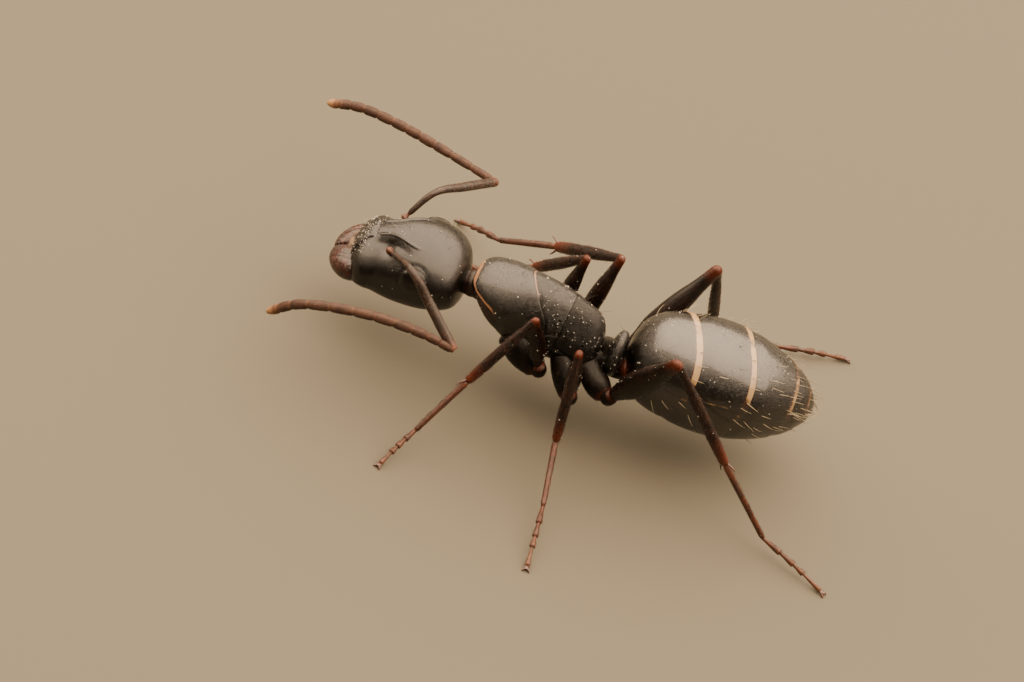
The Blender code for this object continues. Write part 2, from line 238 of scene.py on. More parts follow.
def maths(tree, operation, a, b=0.0, c=0.0, clamp=False):
    # one operation on two or three values
    settings = {"operation": operation, "use_clamp": clamp}
    return addNode(tree, "ShaderNodeMath", settings, _0=a, _1=b, _2=c).outputs[0]


def blended(tree, factor, a, b):
    # a + (b - a) * factor
    return addNode(tree, "ShaderNodeMix", {"data_type": "RGBA"}, _0=factor, _6=a, _7=b).outputs[2]


def ramped(tree, value, low, high):
    # 0 below low, 1 above high, with soft ends
    settings = {"interpolation_type": "SMOOTHSTEP"}
    return addNode(tree, "ShaderNodeMapRange", settings, Value=value, From_Min=low, From_Max=high).outputs[0]


def attribute(tree, name):
    # the value a piece carries at each of its points
    return addNode(tree, "ShaderNodeAttribute", {"attribute_name": name}).outputs["Fac"]


def solid(colour):
    # red, green and blue with full alpha
    return (*colour, 1.0)


def buildShellGrain():
    # fine net of cell edges, with a soft unevenness under it
    group, take, give = nodeGroup("shellGrain", {"Cells per mm": 40.0, "Net": 0.5, "Swell": 0.5},
                                  ["Height", "Tone"])
    cells = addNode(group, "ShaderNodeTexVoronoi", {"feature": "DISTANCE_TO_EDGE"},
                    Vector=take["Place"], Scale=take["Cells per mm"])
    edge = ramped(group, cells.outputs["Distance"], 0.0, 0.18)
    swell = addNoise(group, take["Place"], 7.0, 3.0)
    netHeight = maths(group, "MULTIPLY", edge, take["Net"])
    group.links.new(maths(group, "MULTIPLY_ADD", swell, take["Swell"], netHeight), give["Height"])
    group.links.new(swell, give["Tone"])
    return group


def buildBrokenGloss():
    # roughness that wanders between two values in soft patches with fine smears
    group, take, give = nodeGroup("brokenGloss", {"Smooth": 0.15, "Dull": 0.35}, ["Roughness"])
    share = ramped(group, addNoise(group, take["Place"], 2.4, 6.0, 0.62), 0.35, 0.7)
    reach = maths(group, "SUBTRACT", take["Dull"], take["Smooth"])
    group.links.new(maths(group, "MULTIPLY_ADD", share, reach, take["Smooth"]), give["Roughness"])
    return group


def buildPaleDust():
    # scattered pale specks: small cells whose random number is high, and only their middles
    group, take, give = nodeGroup("paleDust", {"Specks per mm": 12.0, "Share": 0.06}, ["Mask"])
    cells = addNode(group, "ShaderNodeTexVoronoi", Vector=take["Place"], Scale=take["Specks per mm"]).outputs
    chance = addNode(group, "ShaderNodeSeparateColor", Color=cells["Color"]).outputs[0]
    clumps = maths(group, "MULTIPLY", addNoise(group, take["Place"], 1.7, 2.0), 2.0)
    limit = maths(group, "SUBTRACT", 1.0, maths(group, "MULTIPLY", take["Share"], clumps))
    chosen = maths(group, "GREATER_THAN", chance, limit)
    middle = maths(group, "LESS_THAN", cells["Distance"], maths(group, "MULTIPLY", chance, 0.16))
    group.links.new(maths(group, "MULTIPLY", chosen, middle), give["Mask"])
    return group


def buildJointBlush():
    # share of the joint colour: full at both ends of a limb's run, gone by its middle, with a ragged edge
    values = {"Along": 0.5, "Near end": 0.1, "Far end": 0.15}
    group, take, give = nodeGroup("jointBlush", values, ["Share"])
    wander = maths(group, "MULTIPLY_ADD", addNoise(group, take["Place"], 9.0, 3.0), 0.06, -0.03)
    along = maths(group, "ADD", take["Along"], wander)
    shares = []
    for run, end in ((along, "Near end"), (maths(group, "SUBTRACT", 1.0, along), "Far end")):
        shares.append(maths(group, "SUBTRACT", 1.0, maths(group, "DIVIDE", run, take[end]), clamp=True))
    group.links.new(maths(group, "MAXIMUM", *shares), give["Share"])
    return group


shellGrain = buildShellGrain()
brokenGloss = buildBrokenGloss()
paleDust = buildPaleDust()
jointBlush = buildJointBlush()


def newMaterial(name):
    # material with a plain shader, its node tree and the shader's sockets
    material = bpy.data.materials.new(name)
    material.use_nodes = True
    return material, material.node_tree, material.node_tree.nodes["Principled BSDF"].inputs


def makeFinish(name, look):
    # at places in mm: the colour wanders between two tones, turns to the joint colour towards a limb's
    # ends, takes the marks of the piece's "rust" and "pale" values, made ragged by the grain's tone,
    # and is flecked with dust
    material, tree, shader = newMaterial(name)
    shader["IOR"].default_value = 1.6
    shader["Specular IOR Level"].default_value = look.get("shine", 0.5)
    coordinates = tree.nodes.new("ShaderNodeTexCoord").outputs["Object"]
    scaled = addNode(tree, "ShaderNodeVectorMath", {"operation": "SCALE"}, Vector=coordinates, Scale=1 / mm)
    place = scaled.outputs[0]
    cells, net, swell, depth = look["grain"]
    grain = addGroup(tree, shellGrain, Place=place, Cells_per_mm=cells, Net=net, Swell=swell)
    bump = addNode(tree, "ShaderNodeBump", Height=grain["Height"], Strength=1.0, Distance=depth * mm)
    gloss = addGroup(tree, brokenGloss, Place=place, Smooth=look["gloss"][0], Dull=look["gloss"][1])
    colour = blended(tree, ramped(tree, grain["Tone"], 0.3, 0.7), *map(solid, look["tones"]))
    if "joint" in look:
        near, far = look["ends"]
        along = attribute(tree, "along")
        blush = addGroup(tree, jointBlush, Place=place, Along=along, Near_end=near, Far_end=far)
        colour = blended(tree, blush[0], colour, solid(look["joint"]))
    for mark in ("rust", "pale"):
        if mark in look:
            wander = maths(tree, "SUBTRACT", grain["Tone"], 0.5)
            share = maths(tree, "MULTIPLY_ADD", wander, look["ragged"], attribute(tree, mark))
            colour = blended(tree, ramped(tree, share, 0.25, 0.75), colour, solid(look[mark]))
    dust = addGroup(tree, paleDust, Place=place, Share=look["dust"][0], Specks_per_mm=look["dust"][1])
    colour = blended(tree, dust[0], colour, solid(dustColour))
    for source, target in ((colour, "Base Color"), (gloss[0], "Roughness"), (bump.outputs[0], "Normal")):
        tree.links.new(source, shader[target])
    return material


def makeHairFinish(name, colour, roughness):
    # darker at the root than at the tip
    material, tree, shader = newMaterial(name)
    shader["Roughness"].default_value = roughness
    root = [0.55 * c for c in colour]
    tree.links.new(blended(tree, attribute(tree, "along"), solid(root), solid(colour)), shader["Base Color"])
    return material


dustColour = (0.22, 0.22, 0.21)
blackTones = ((0.0012, 0.0010, 0.0008), (0.0030, 0.0022, 0.0016))
sootTones = ((0.0012, 0.0010, 0.0008), (0.0032, 0.0024, 0.0017))
# tones: dark and light; grain: cells per mm, net, swell and depth in mm; gloss: smooth and dull;
# dust: share and specks per mm; ends: how far the joint colour runs from each end; shine: 0.5 is plain
looks = {
    "headShell": {"tones": blackTones, "shine": 0.36,
                  "grain": (42, 0.4, 1.0, 0.003), "gloss": (0.13, 0.25), "dust": (0.05, 15)},
    "facedShell": {"tones": sootTones, "shine": 0.42,
                   "grain": (36, 0.6, 1.2, 0.006), "gloss": (0.20, 0.33), "dust": (0.10, 13)},
    "tailShell": {"tones": sootTones, "shine": 0.27,
                  "grain": (34, 0.7, 1.3, 0.007), "gloss": (0.24, 0.38), "dust": (0.12, 13)},
    "jawShell": {"tones": ((0.006, 0.0009, 0.0004), (0.032, 0.0046, 0.0016)), "shine": 0.40,
                 "grain": (24, 0.5, 1.4, 0.006), "gloss": (0.15, 0.30), "dust": (0.12, 17)},
    "eyeFacets": {"tones": ((0.0015, 0.0012, 0.001), (0.0035, 0.0028, 0.0022)), "shine": 0.25,
                  "grain": (60, 0.2, 0.3, 0.001), "gloss": (0.14, 0.24), "dust": (0.01, 20)},
    "jointSkin": {"tones": ((0.004, 0.0018, 0.0012), (0.018, 0.0065, 0.0035)), "shine": 0.22,
                  "grain": (20, 0.3, 1.0, 0.006), "gloss": (0.30, 0.50), "dust": (0.02, 16)},
    "mouthSkin": {"tones": ((0.012, 0.004, 0.002), (0.16, 0.095, 0.050)), "shine": 0.3,
                  "grain": (22, 0.6, 1.6, 0.010), "gloss": (0.25, 0.50), "dust": (0.05, 20)},
    "clawHorn": {"tones": ((0.030, 0.0065, 0.0028), (0.065, 0.014, 0.0055)),
                 "grain": (30, 0.2, 0.8, 0.002), "gloss": (0.22, 0.36), "dust": (0.0, 16)},
    "whipShell": {"tones": ((0.026, 0.0100, 0.0055), (0.060, 0.025, 0.0140)), "shine": 0.22,
                  "rust": (0.105, 0.044, 0.0220), "pale": (0.30, 0.155, 0.070), "ragged": 0.4,
                  "grain": (40, 0.9, 0.8, 0.004), "gloss": (0.36, 0.52), "dust": (0.01, 20)},
    "rimmedShell": {"tones": blackTones,
                    "rust": (0.013, 0.0032, 0.0014), "pale": (0.25, 0.130, 0.068), "ragged": 0.5,
                    "grain": (38, 0.5, 1.0, 0.005), "gloss": (0.17, 0.28), "dust": (0.05, 13)},
    "sutureSkin": {"tones": ((0.003, 0.0022, 0.0017), (0.006, 0.0045, 0.0035)),
                   "rust": (0.050, 0.014, 0.007), "pale": (0.13, 0.066, 0.043), "ragged": 0.4,
                   "grain": (20, 0.3, 1.0, 0.004), "gloss": (0.30, 0.50), "dust": (0.02, 16)},
    "bandedShell": {"tones": ((0.0010, 0.0008, 0.0006), (0.0026, 0.0019, 0.0014)), "shine": 0.68,
                    "rust": (0.026, 0.0100, 0.0050), "pale": (0.275, 0.180, 0.084), "ragged": 0.9,
                    "grain": (40, 0.45, 0.9, 0.003), "gloss": (0.11, 0.20), "dust": (0.06, 12)},
    "thighShell": {"tones": ((0.0018, 0.0012, 0.0009), (0.0080, 0.0024, 0.0012)), "shine": 0.17,
                   "joint": (0.058, 0.0105, 0.0034), "ends": (0.05, 0.17),
                   "grain": (38, 0.5, 1.0, 0.004), "gloss": (0.18, 0.30), "dust": (0.09, 14)},
    "hipShell": {"tones": ((0.0018, 0.0013, 0.0010), (0.0045, 0.0024, 0.0015)), "shine": 0.12,
                 "joint": (0.056, 0.0110, 0.0036), "ends": (0.01, 0.20),
                 "grain": (38, 0.5, 1.0, 0.004), "gloss": (0.20, 0.32), "dust": (0.09, 14)},
    "shankShell": {"tones": ((0.0034, 0.0015, 0.0010), (0.0160, 0.0040, 0.0018)), "shine": 0.19,
                   "joint": (0.088, 0.0160, 0.0052), "ends": (0.05, 0.30),
                   "grain": (32, 0.7, 1.2, 0.005), "gloss": (0.20, 0.34), "dust": (0.07, 18)},
    "footShell": {"tones": ((0.026, 0.0068, 0.0028), (0.074, 0.0180, 0.0065)), "shine": 0.3,
                  "joint": (0.095, 0.032, 0.013), "ends": (0.05, 0.35),
                  "grain": (30, 0.6, 1.2, 0.004), "gloss": (0.26, 0.42), "dust": (0.03, 20)},
    "scapeShell": {"tones": ((0.0090, 0.0040, 0.0024), (0.026, 0.0110, 0.0062)), "shine": 0.30,
                   "joint": (0.095, 0.026, 0.0105), "ends": (0.09, 0.07),
                   "grain": (34, 0.8, 1.0, 0.004), "gloss": (0.24, 0.38), "dust": (0.02, 18)},
    "dustGrain": {"tones": ((0.20, 0.19, 0.17), (0.42, 0.42, 0.40)),
                  "grain": (60, 0.4, 1.0, 0.002), "gloss": (0.3, 0.6), "dust": (0.0, 14)},
}
hairLooks = {"goldHair": ((0.26, 0.22, 0.14), 0.4), "paleDown": ((0.070, 0.054, 0.040), 0.45),
             "darkHair": ((0.035, 0.013, 0.007), 0.45)}
finishes = {name: makeFinish(name, look) for name, look in looks.items()}
finishes.update({name: makeHairFinish(name, *look) for name, look in hairLooks.items()})
print("finishes ready:", len(finishes))


# head: axes of its own, x to the nape, y to the right, z out of the crown

head = {
    "centre": (-3.19, 0.07, 1.74), "pitch": 14.2, "rows": 260, "cols": 330,
    "middle": 0.20, "length": 2.32, "inset": 0.02,
    "width": (0.0, 0.76, 0.95, 1.06, 1.01, 0.70, 0.0),
    "top": (0.0, 0.50, 0.73, 0.86, 0.78, 0.48, 0.0),
    "under": (0.0, 0.37, 0.52, 0.62, 0.66, 0.60, 0.0),
    "plateRear": -0.50, "plateHalfWidth": 0.44, "plateTaper": 0.16, "plateHeight": 0.030,
    "plateGroove": 0.013, "keelHeight": 0.014, "pitDepth": 0.0045,
    "ridgeFront": 0.21, "ridgeSpread": 0.24, "ridgeHeight": 0.022, "ridgeWidth": 0.026, "ridgeHollow": 0.095,
    "socket": (-0.16, 0.48, 0.585), "socketDepth": 0.05, "socketWidth": 0.12,
    "crownLine": 0.003, "eyeRim": 0.006, "cheekRidge": 0.010,
    "hinge": (-0.90, 0.50, 0.10), "hingeHeight": 0.02,
    # where along X the ridge, the hollow beside it and the crown line start, are full, sink and end
    "ridgeRun": (-0.48, -0.34, 0.30, 0.62), "hollowRun": (-0.60, -0.34, -0.05, 0.60),
    "crownRun": (-0.38, -0.25, 0.20, 0.55),
}
headTurn = turnAbout("Y", -head["pitch"])


def fromHead(points):
    # points in head axes, pitched and moved to the head's place
    return points @ headTurn.T + np.array(head["centre"])


def lobeGrid(rows, cols, middle, length, width, top, under, inset=0.0):
    # half widths and depths that change with the turn from pole to pole; angle 0 is the top:
    # x = middle - length / 2 * cos(pi turn), y = width sin(angle), z = depth cos(angle)
    u, v = np.meshgrid(np.linspace(0, 1, rows), ringAngles(cols), indexing="ij")
    depth = np.where(np.cos(v) > 0, smoothValues(top, u), smoothValues(under, u))
    ring = inset * np.sin(np.pi * u)
    x = middle - (length / 2 - inset) * np.cos(np.pi * u)
    return np.stack((x, np.sin(v) * (smoothValues(width, u) - ring), np.cos(v) * (depth - ring)), -1)


def ridgeLine(x):
    # the frontal ridge stands this far from the midline, close together in front and apart behind
    return head["ridgeFront"] + head["ridgeSpread"] * rise(x, -0.25, 0.45)


def headRelief(p):
    # sum of ridges and hollows, each a bell or a rise of the distance from its line or place:
    # lip plate with its groove and keel, frontal ridges with the hollows beside them,
    # feeler sockets, eye rims, crown line, cheek line and jaw hinges
    x, y, z = p[..., 0], np.abs(p[..., 1]), p[..., 2]
    rear = head["plateRear"]
    edge = head["plateHalfWidth"] - head["plateTaper"] * rise(x, rear - 0.4, rear) - y
    ahead = 1 - rise(x, rear - 0.06, rear + 0.04)
    plate = rise(edge, 0.0, 0.05) * ahead
    groove = bell(edge, 0.022) * ahead + bell(x - rear, 0.022) * rise(edge, -0.02, 0.02)
    keel = bell(y, 0.04) * plate
    out = y - ridgeLine(x)
    ridge = bell(out, head["ridgeWidth"]) * span(x, *head["ridgeRun"])
    fall = 0.75 * rise(out, 0.0, 0.19) + 0.25 * rise(out, 0.12, 0.50)
    hollow = fall * span(x, *head["hollowRun"]) * rise(z, -0.42, 0.10)
    pits = np.cos(78 * x + 3 * np.sin(9 * y)) * np.cos(84 * p[..., 1] + 2 * np.sin(11 * x))
    pits = pits * bell(x + 0.70, 0.22) * (1 - rise(y, 0.46, 0.62))
    socket = bell(np.hypot(x - head["socket"][0], y - head["socket"][1]), head["socketWidth"])
    eyeAway = np.hypot((x - eye["place"][0]) / 0.27, (z - eye["place"][2]) / 0.23)
    eyeRim = bell(eyeAway - 1.08, 0.12) * rise(y, 0.5, 0.7)
    crown = bell(y, 0.014) * span(x, *head["crownRun"])
    cheek = bell(z + 0.02 - 0.12 * x, 0.035) * (1 - rise(x, -0.45, -0.25))
    hinge = bell(np.hypot(x - head["hinge"][0], y - head["hinge"][1]), head["hinge"][2])
    front = (head["plateHeight"] * plate - head["plateGroove"] * groove + head["keelHeight"] * keel
             + head["ridgeHeight"] * ridge + head["pitDepth"] * pits
             - head["socketDepth"] * socket - head["crownLine"] * crown)
    side = head["cheekRidge"] * cheek + head["hingeHeight"] * hinge - head["eyeRim"] * eyeRim
    return rise(z, 0.0, 0.15) * front + side - head["ridgeHollow"] * hollow


def buildHead():
    # lobe pushed out by its relief, which fades to nothing at the poles
    shape = (head[key] for key in ("rows", "cols", "middle", "length", "width", "top", "under", "inset"))
    grid = lobeGrid(*shape)
    fade = np.minimum(1, np.sin(np.pi * np.linspace(0, 1, head["rows"])) * 6)[:, None]
    placed = fromHead(pushed(grid, headRelief(grid) * fade))
    closedSurface("headShell", placed, "headShell", "chitin", ["head"])
    return placed


eye = {"place": (0.46, 0.885, 0.33), "radii": (0.255, 0.100, 0.215), "tilt": 24, "facets": 54,
       "relief": 0.0025, "rows": 120, "cols": 190}


def ballAxes(rows, cols):
    # unit ball with its poles on the first axis: cos u, sin u cos v, sin u sin v
    u, v = np.meshgrid(np.linspace(0, np.pi, rows), ringAngles(cols), indexing="ij")
    return np.cos(u), np.sin(u) * np.cos(v), np.sin(u) * np.sin(v)


def buildEye(word, side):
    # flattened ball whose height is a sum of three cosine waves 120 degrees apart,
    # which packs round domes in a honeycomb
    y, x, z = ballAxes(eye["rows"], eye["cols"])
    waves = sum(np.cos(eye["facets"] * (np.cos(a) * x + np.sin(a) * z)) for a in np.radians([0, 120, 240]))
    swell = eye["relief"] * np.clip(waves, -0.5, 3)[..., None] / 3
    ball = np.stack((x, y, z), -1) * (np.array(eye["radii"]) + swell)
    tilted = ball @ turnAbout("X", side * eye["tilt"]).T + np.array(eye["place"]) * (1, side, 1)
    closedSurface("eye" + word.title(), fromHead(tilted), "eyeFacets", "eye", ["eye_" + word])


jaw = {"place": (-0.94, 0.44, -0.02), "length": 0.86, "width": 0.37, "depth": 0.30, "curl": 0.26,
       "droop": 0.08, "square": 0.75, "taper": 0.15, "teeth": 6, "toothDepth": 0.020, "gap": 0.005,
       "groove": 0.014, "rows": 140, "cols": 110}


def buildJaw(word, side):
    # ball drawn in towards its partner by curl * reach^2, where reach goes from 0 at the hinge to 1 at
    # the tip; its inner edge is a saw wave, and two long furrows follow its outer face
    x, y, z = ballAxes(jaw["rows"], jaw["cols"])
    reach = 0.5 * (1 - x)
    saw = np.abs((reach * jaw["teeth"] * 1.6) % 1 - 0.5) * 2
    inner = jaw["gap"] + jaw["toothDepth"] * saw * rise(reach, 0.45, 0.6)
    full = np.where(y < 0, -np.abs(y) ** jaw["square"], y)
    across = jaw["place"][1] + jaw["width"] * full - jaw["curl"] * reach ** 2
    furrows = jaw["groove"] * (bell(y - 0.10, 0.07) + bell(y - 0.45, 0.06)) * rise(z, 0.1, 0.4)
    thick = jaw["depth"] * z * (1 - jaw["taper"] * reach) - furrows
    points = np.stack((jaw["place"][0] + 0.5 * jaw["length"] * x, side * np.maximum(across, inner),
                       jaw["place"][2] - jaw["droop"] * reach + thick), -1)
    closedSurface("mandible" + word.title(), fromHead(points), "jawShell", "mandible", ["mandible_" + word])


mouth = {
    "palps": (((-0.72, 0.22, -0.36), (-0.45, 0.32, -0.58), (-0.05, 0.36, -0.66)),
              ((-0.80, 0.09, -0.34), (-0.60, 0.13, -0.52), (-0.35, 0.14, -0.60))),
    "palpRadius": 0.032, "palpJoints": (5, 3), "palpPinch": 0.15, "palpTaper": 0.4, "rows": 60, "cols": 60,
    # middle and length, then half widths, depths above and depths below, along X
    "lip": (-0.62, 0.62, (0, 0.17, 0.22, 0.24, 0.22, 0.15, 0), (0, 0.10, 0.12, 0.12, 0.12, 0.10, 0),
            (0, 0.07, 0.09, 0.10, 0.09, 0.07, 0)),
    "lipDrop": 0.40, "lipSlope": 0.10,
    "skin": (-0.88, 0.34, (0, 0.24, 0.32, 0.36, 0.32, 0.24, 0), (0, 0.11, 0.15, 0.16, 0.15, 0.11, 0),
             (0, 0.11, 0.15, 0.16, 0.15, 0.11, 0)),
    "skinRise": 0.12,
}


def buildMouth():
    # palps under the jaws, pinched at each joint by a sine; the lip plate between them, and the pale skin
    # between the jaws and the head, which are lobes
    rows, share = roundEnds(mouth["rows"])
    for index, points in enumerate(mouth["palps"]):
        joints = 1 - mouth["palpPinch"] * (1 - np.abs(np.sin(rows * np.pi * mouth["palpJoints"][index])))
        radii = mouth["palpRadius"] * joints * share * (1 - mouth["palpTaper"] * rows)
        for word, side in sides.items():
            grid = limbGrid(smoothValues(np.array(points) * (1, side, 1), rows), radii, (0, 1, 0), 14)
            closedSurface("palp%d%s" % (index + 1, word.title()), fromHead(grid), "whipShell", "mandible")
    plate = lobeGrid(mouth["rows"], mouth["cols"], *mouth["lip"])
    plate[..., 2] -= mouth["lipDrop"] - mouth["lipSlope"] * plate[..., 0]
    closedSurface("lipPlate", fromHead(plate), "jawShell", "mandible")
    skin = lobeGrid(mouth["rows"], mouth["cols"], *mouth["skin"])
    skin[..., 2] += mouth["skinRise"]
    closedSurface("mouthSkin", fromHead(skin), "mouthSkin", "mandible")


headGrid = buildHead()
for word, side in sides.items():
    buildEye(word, side)
    buildJaw(word, side)
buildMouth()
print("head done")


# feelers: each a scape and a whip of eleven joints, on points in mm

feeler = {
    "scapeRadius": (0.056, 0.101), "scapeWidens": (0.05, 0.75), "ballRadius": 0.080, "neckPinch": 0.40,
    "scapeRows": 220, "scapeCols": 32, "whipRows": 460, "whipCols": 30,
    "whipRadius": 0.098, "whipStart": 0.012, "segments": 11, "pinch": 0.26, "pinchPower": 5, "tipRun": 0.055,
    "scapes": {"left": ((-2.90, -1.40, 2.91), (-2.33, -1.64, 2.53), (-1.58, -1.98, 2.02)),
               "right": ((-3.14, 1.00, 2.80), (-2.66, 1.75, 2.62), (-2.19, 2.57, 2.33))},
    "whips": {"left": ((-1.58, -1.98, 2.02), (-2.33, -2.20, 2.28), (-3.34, -2.35, 2.29),
                       (-4.47, -2.35, 1.89), (-5.09, -2.20, 1.19)),
              "right": ((-2.19, 2.57, 2.33), (-3.43, 3.00, 2.18), (-4.31, 3.15, 2.17),
                        (-5.15, 3.20, 2.13), (-5.81, 3.20, 1.90))},
}


def buildScape(word, side):
    # ball at the socket, thin neck, then a shaft that widens slowly and is cut off round at the elbow
    socket = fromHead(np.array(head["socket"]) * (1, side, 1))
    rows, share = roundEnds(feeler["scapeRows"], 0.012)
    path = smoothValues(np.vstack((socket, feeler["scapes"][word])), rows)
    thin, thick = feeler["scapeRadius"]
    ball = feeler["ballRadius"] * bell(rows - 0.022, 0.022)
    shaft = thin + (thick - thin) * rise(rows, *feeler["scapeWidens"])
    neck = 1 - feeler["neckPinch"] * bell(rows - 0.06, 0.02)
    cols = feeler["scapeCols"]
    grid = limbGrid(path, np.maximum(shaft * neck, ball) * share, (0.3, side, 0.4), cols, 0.9)
    closedSurface("scape" + word.title(), grid, "scapeShell", "feeler", ["scape_" + word],
                  along=spread(rows, cols))
    return grid


def buildWhip(word, side):
    # string of beads: each swells by one less a power of the distance from its middle; the last one
    # runs out to a round pale tip, and a paler ring at each joint is a painted highlight
    rows, share = roundEnds(feeler["whipRows"], 0.006)
    path = smoothValues(feeler["whips"][word], rows)
    start = feeler["whipStart"]
    bead = np.clip((rows - start) / (1 - start), 0, 1) * feeler["segments"]
    inside = np.abs((bead % 1) * 2 - 1) * (bead < feeler["segments"] - 0.5)
    grow = 0.80 + 0.20 * rise(rows, 0.0, 0.35)
    radii = feeler["whipRadius"] * grow * (1 - feeler["pinch"] * inside ** feeler["pinchPower"])
    radii = radii * np.clip((1.0005 - rows) / feeler["tipRun"], 0, 1) ** 0.4 * share
    cols = feeler["whipCols"]
    grid = limbGrid(path, radii, (0.2, side, 0.3), cols)
    # painted highlight: the paler rust ring round each joint; the rust towards the tip is the whip's own
    # colour
    rust = spread(0.5 * rise(inside, 0.65, 1.0) + rise(rows, 0.80, 0.97), cols)
    pale = spread(rise(rows, 0.90, 0.985), cols)
    closedSurface("funiculus" + word.title(), grid, "whipShell", "feeler", ["funiculus_" + word],
                  rust=rust, pale=pale)
    return grid


scapeGrids, whipGrids = {}, {}
for word, side in sides.items():
    scapeGrids[word] = buildScape(word, side)
    whipGrids[word] = buildWhip(word, side)
print("feelers done")


# trunk: three plates cut from one closed body, a skin under them, the neck and the petiole

trunk = {
    "front": -1.85, "rear": 0.97, "inset": 0.018, "square": 0.8, "tailPinch": 0.35, "cols": 300,
    "rows": (150, 110, 110), "skinRows": 160, "skinGap": 0.05,
    "poleGap": 0.012,  # how far the first and the last plate stop from the ends
    "width": (0.0, 0.48, 0.71, 0.62, 0.52, 0.42, 0.0),
    "top": (2.14, 2.57, 2.74, 2.80, 2.71, 2.48, 1.79),
    "bottom": (2.14, 1.94, 1.475, 1.20, 1.23, 1.31, 1.79),
    # place of the suture along X every 30 degrees from the top, and where that top is
    "suture": (-0.78, -0.68, -0.45, -0.18, -0.16, -0.52, -0.80), "sutureRoll": 20,
    "sutureGap": (0.024, 0.006), "groove": 0.11, "grooveGap": 0.0015, "grooveArch": 0.03,
    "rimFront": -1.79, "rimAngles": (72, 88), "rimDip": 11, "rimRear": -0.98, "rimWidth": 0.046,
    "rimBend": 0.065, "neckSink": 0.040, "ribHeight": 0.007, "ribs": 44,
    "slantFurrow": 0.018, "slantRun": (-0.45, -0.30, 0.05, 0.25), "uprightFurrow": 0.014, "hipFurrow": 0.020,
    "breathHoles": ((0.60, 2.05, 0.036), (0.02, 2.40, 0.028)), "holeDepth": 0.028, "holeRim": 0.011,
    "glandLobe": (0.72, 1.62, 0.14), "lobeHeight": 0.035,
    "skinShare": 0.972, "skinDrop": 0.09,  # size of the skin under the plates, and how much less on the flank
}


def powered(values, power):
    # the power of a value's size, with its sign kept
    return np.sign(values) * np.abs(values) ** power


def trunkPoints(x, angle):
    # section at each place along X: an ellipse above, and below its middle the sine and cosine
    # are raised to a power under one, which squares the flank
    half = (trunk["rear"] - trunk["front"]) / 2
    middle = (trunk["rear"] + trunk["front"]) / 2
    turn = np.arccos(np.clip((middle - x) / half, -1, 1)) / np.pi
    top, bottom = smoothValues(trunk["top"], turn), smoothValues(trunk["bottom"], turn)
    inset = trunk["inset"] * np.sin(np.pi * turn)
    across, upward = np.sin(angle), np.cos(angle)
    power = np.where(upward < 0, trunk["square"], 1.0 + trunk["tailPinch"] * rise(x, 0.0, 0.7))
    across, upward = powered(across, power), powered(upward, np.minimum(power, 1.0))
    return np.stack((x, across * (smoothValues(trunk["width"], turn) - inset),
                     (top + bottom) / 2 + upward * ((top - bottom) / 2 - inset)), -1)


def sideTurn(angle):
    # angle from the top, the same on both sides
    return np.abs((angle + np.pi) % (2 * np.pi) - np.pi)


def rimDistance(x, angle):
    # mm inside the shield's pale rim, less than 0 in front of it and below it: the soft least of
    # the distance behind its front and the distance over its side
    low, high = np.radians(trunk["rimAngles"])
    lineAngle = low + (high - low) * rise(x, -1.83, -1.64)
    lineAngle = lineAngle + np.radians(trunk["rimDip"]) * rise(x, -1.30, -0.95)
    ahead, above = x - trunk["rimFront"], (lineAngle - sideTurn(angle)) * 0.6
    blend = trunk["rimBend"]
    return -blend * np.logaddexp(-ahead / blend, -above / blend)


def trunkRelief(p, angle):
    # hollows and swellings: neck plates under the shield's rim with fine ribs, breathing holes,
    # furrows of the flank, the gland lobe over the hind hip
    x, y, z = p[..., 0], np.abs(p[..., 1]), p[..., 2]
    neckPlate = rise(-rimDistance(x, angle), -0.01, 0.05)
    neckPlate = neckPlate * (1 - rise(x, trunk["rimRear"] - 0.1, trunk["rimRear"] + 0.1))
    ribs = np.cos(sideTurn(angle) * trunk["ribs"]) * neckPlate
    slant = bell((z - 1.98) - 0.35 * (x + 0.3), 0.03) * span(x, *trunk["slantRun"])
    upright = bell(x - 0.12 - 0.25 * (z - 2.0), 0.025) * (1 - rise(z, 2.30, 2.50))
    hipEdge = bell(z - 1.52 - 0.25 * bell(x - 0.1, 0.5), 0.03)
    a, b, radius = trunk["glandLobe"]
    relief = trunk["lobeHeight"] * bell(np.hypot(x - a, z - b), radius)
    relief -= trunk["slantFurrow"] * slant + trunk["uprightFurrow"] * upright + trunk["hipFurrow"] * hipEdge
    for a, b, radius in trunk["breathHoles"]:
        away = np.hypot(x - a, z - b)
        relief -= trunk["holeDepth"] * bell(away, radius)
        relief += trunk["holeRim"] * bell(away - 1.4 * radius, 0.016)
    return rise(y, 0.15, 0.30) * relief - trunk["neckSink"] * neckPlate + trunk["ribHeight"] * ribs


def drawnIn(grid, share):
    # each point moved towards the middle of its row, to a share of its distance
    axis = grid.mean(axis=1, keepdims=True)
    return axis + (grid - axis) * share[..., None]


def plateGrid(start, end, steps, startShare, sharp):
    # band of the trunk between two lines across it, given as places along X; its ends turn in to the axis
    rows, share = roundEnds(steps, sharp)
    share = share * (startShare + (1 - startShare) * rise(rows, 0.0, 0.15))
    x = start + rows[:, None] * (end - start)
    angle = ringAngles(trunk["cols"])
    grid = trunkPoints(x, angle)
    return drawnIn(pushed(grid, trunkRelief(grid, angle)), share[:, None]), x


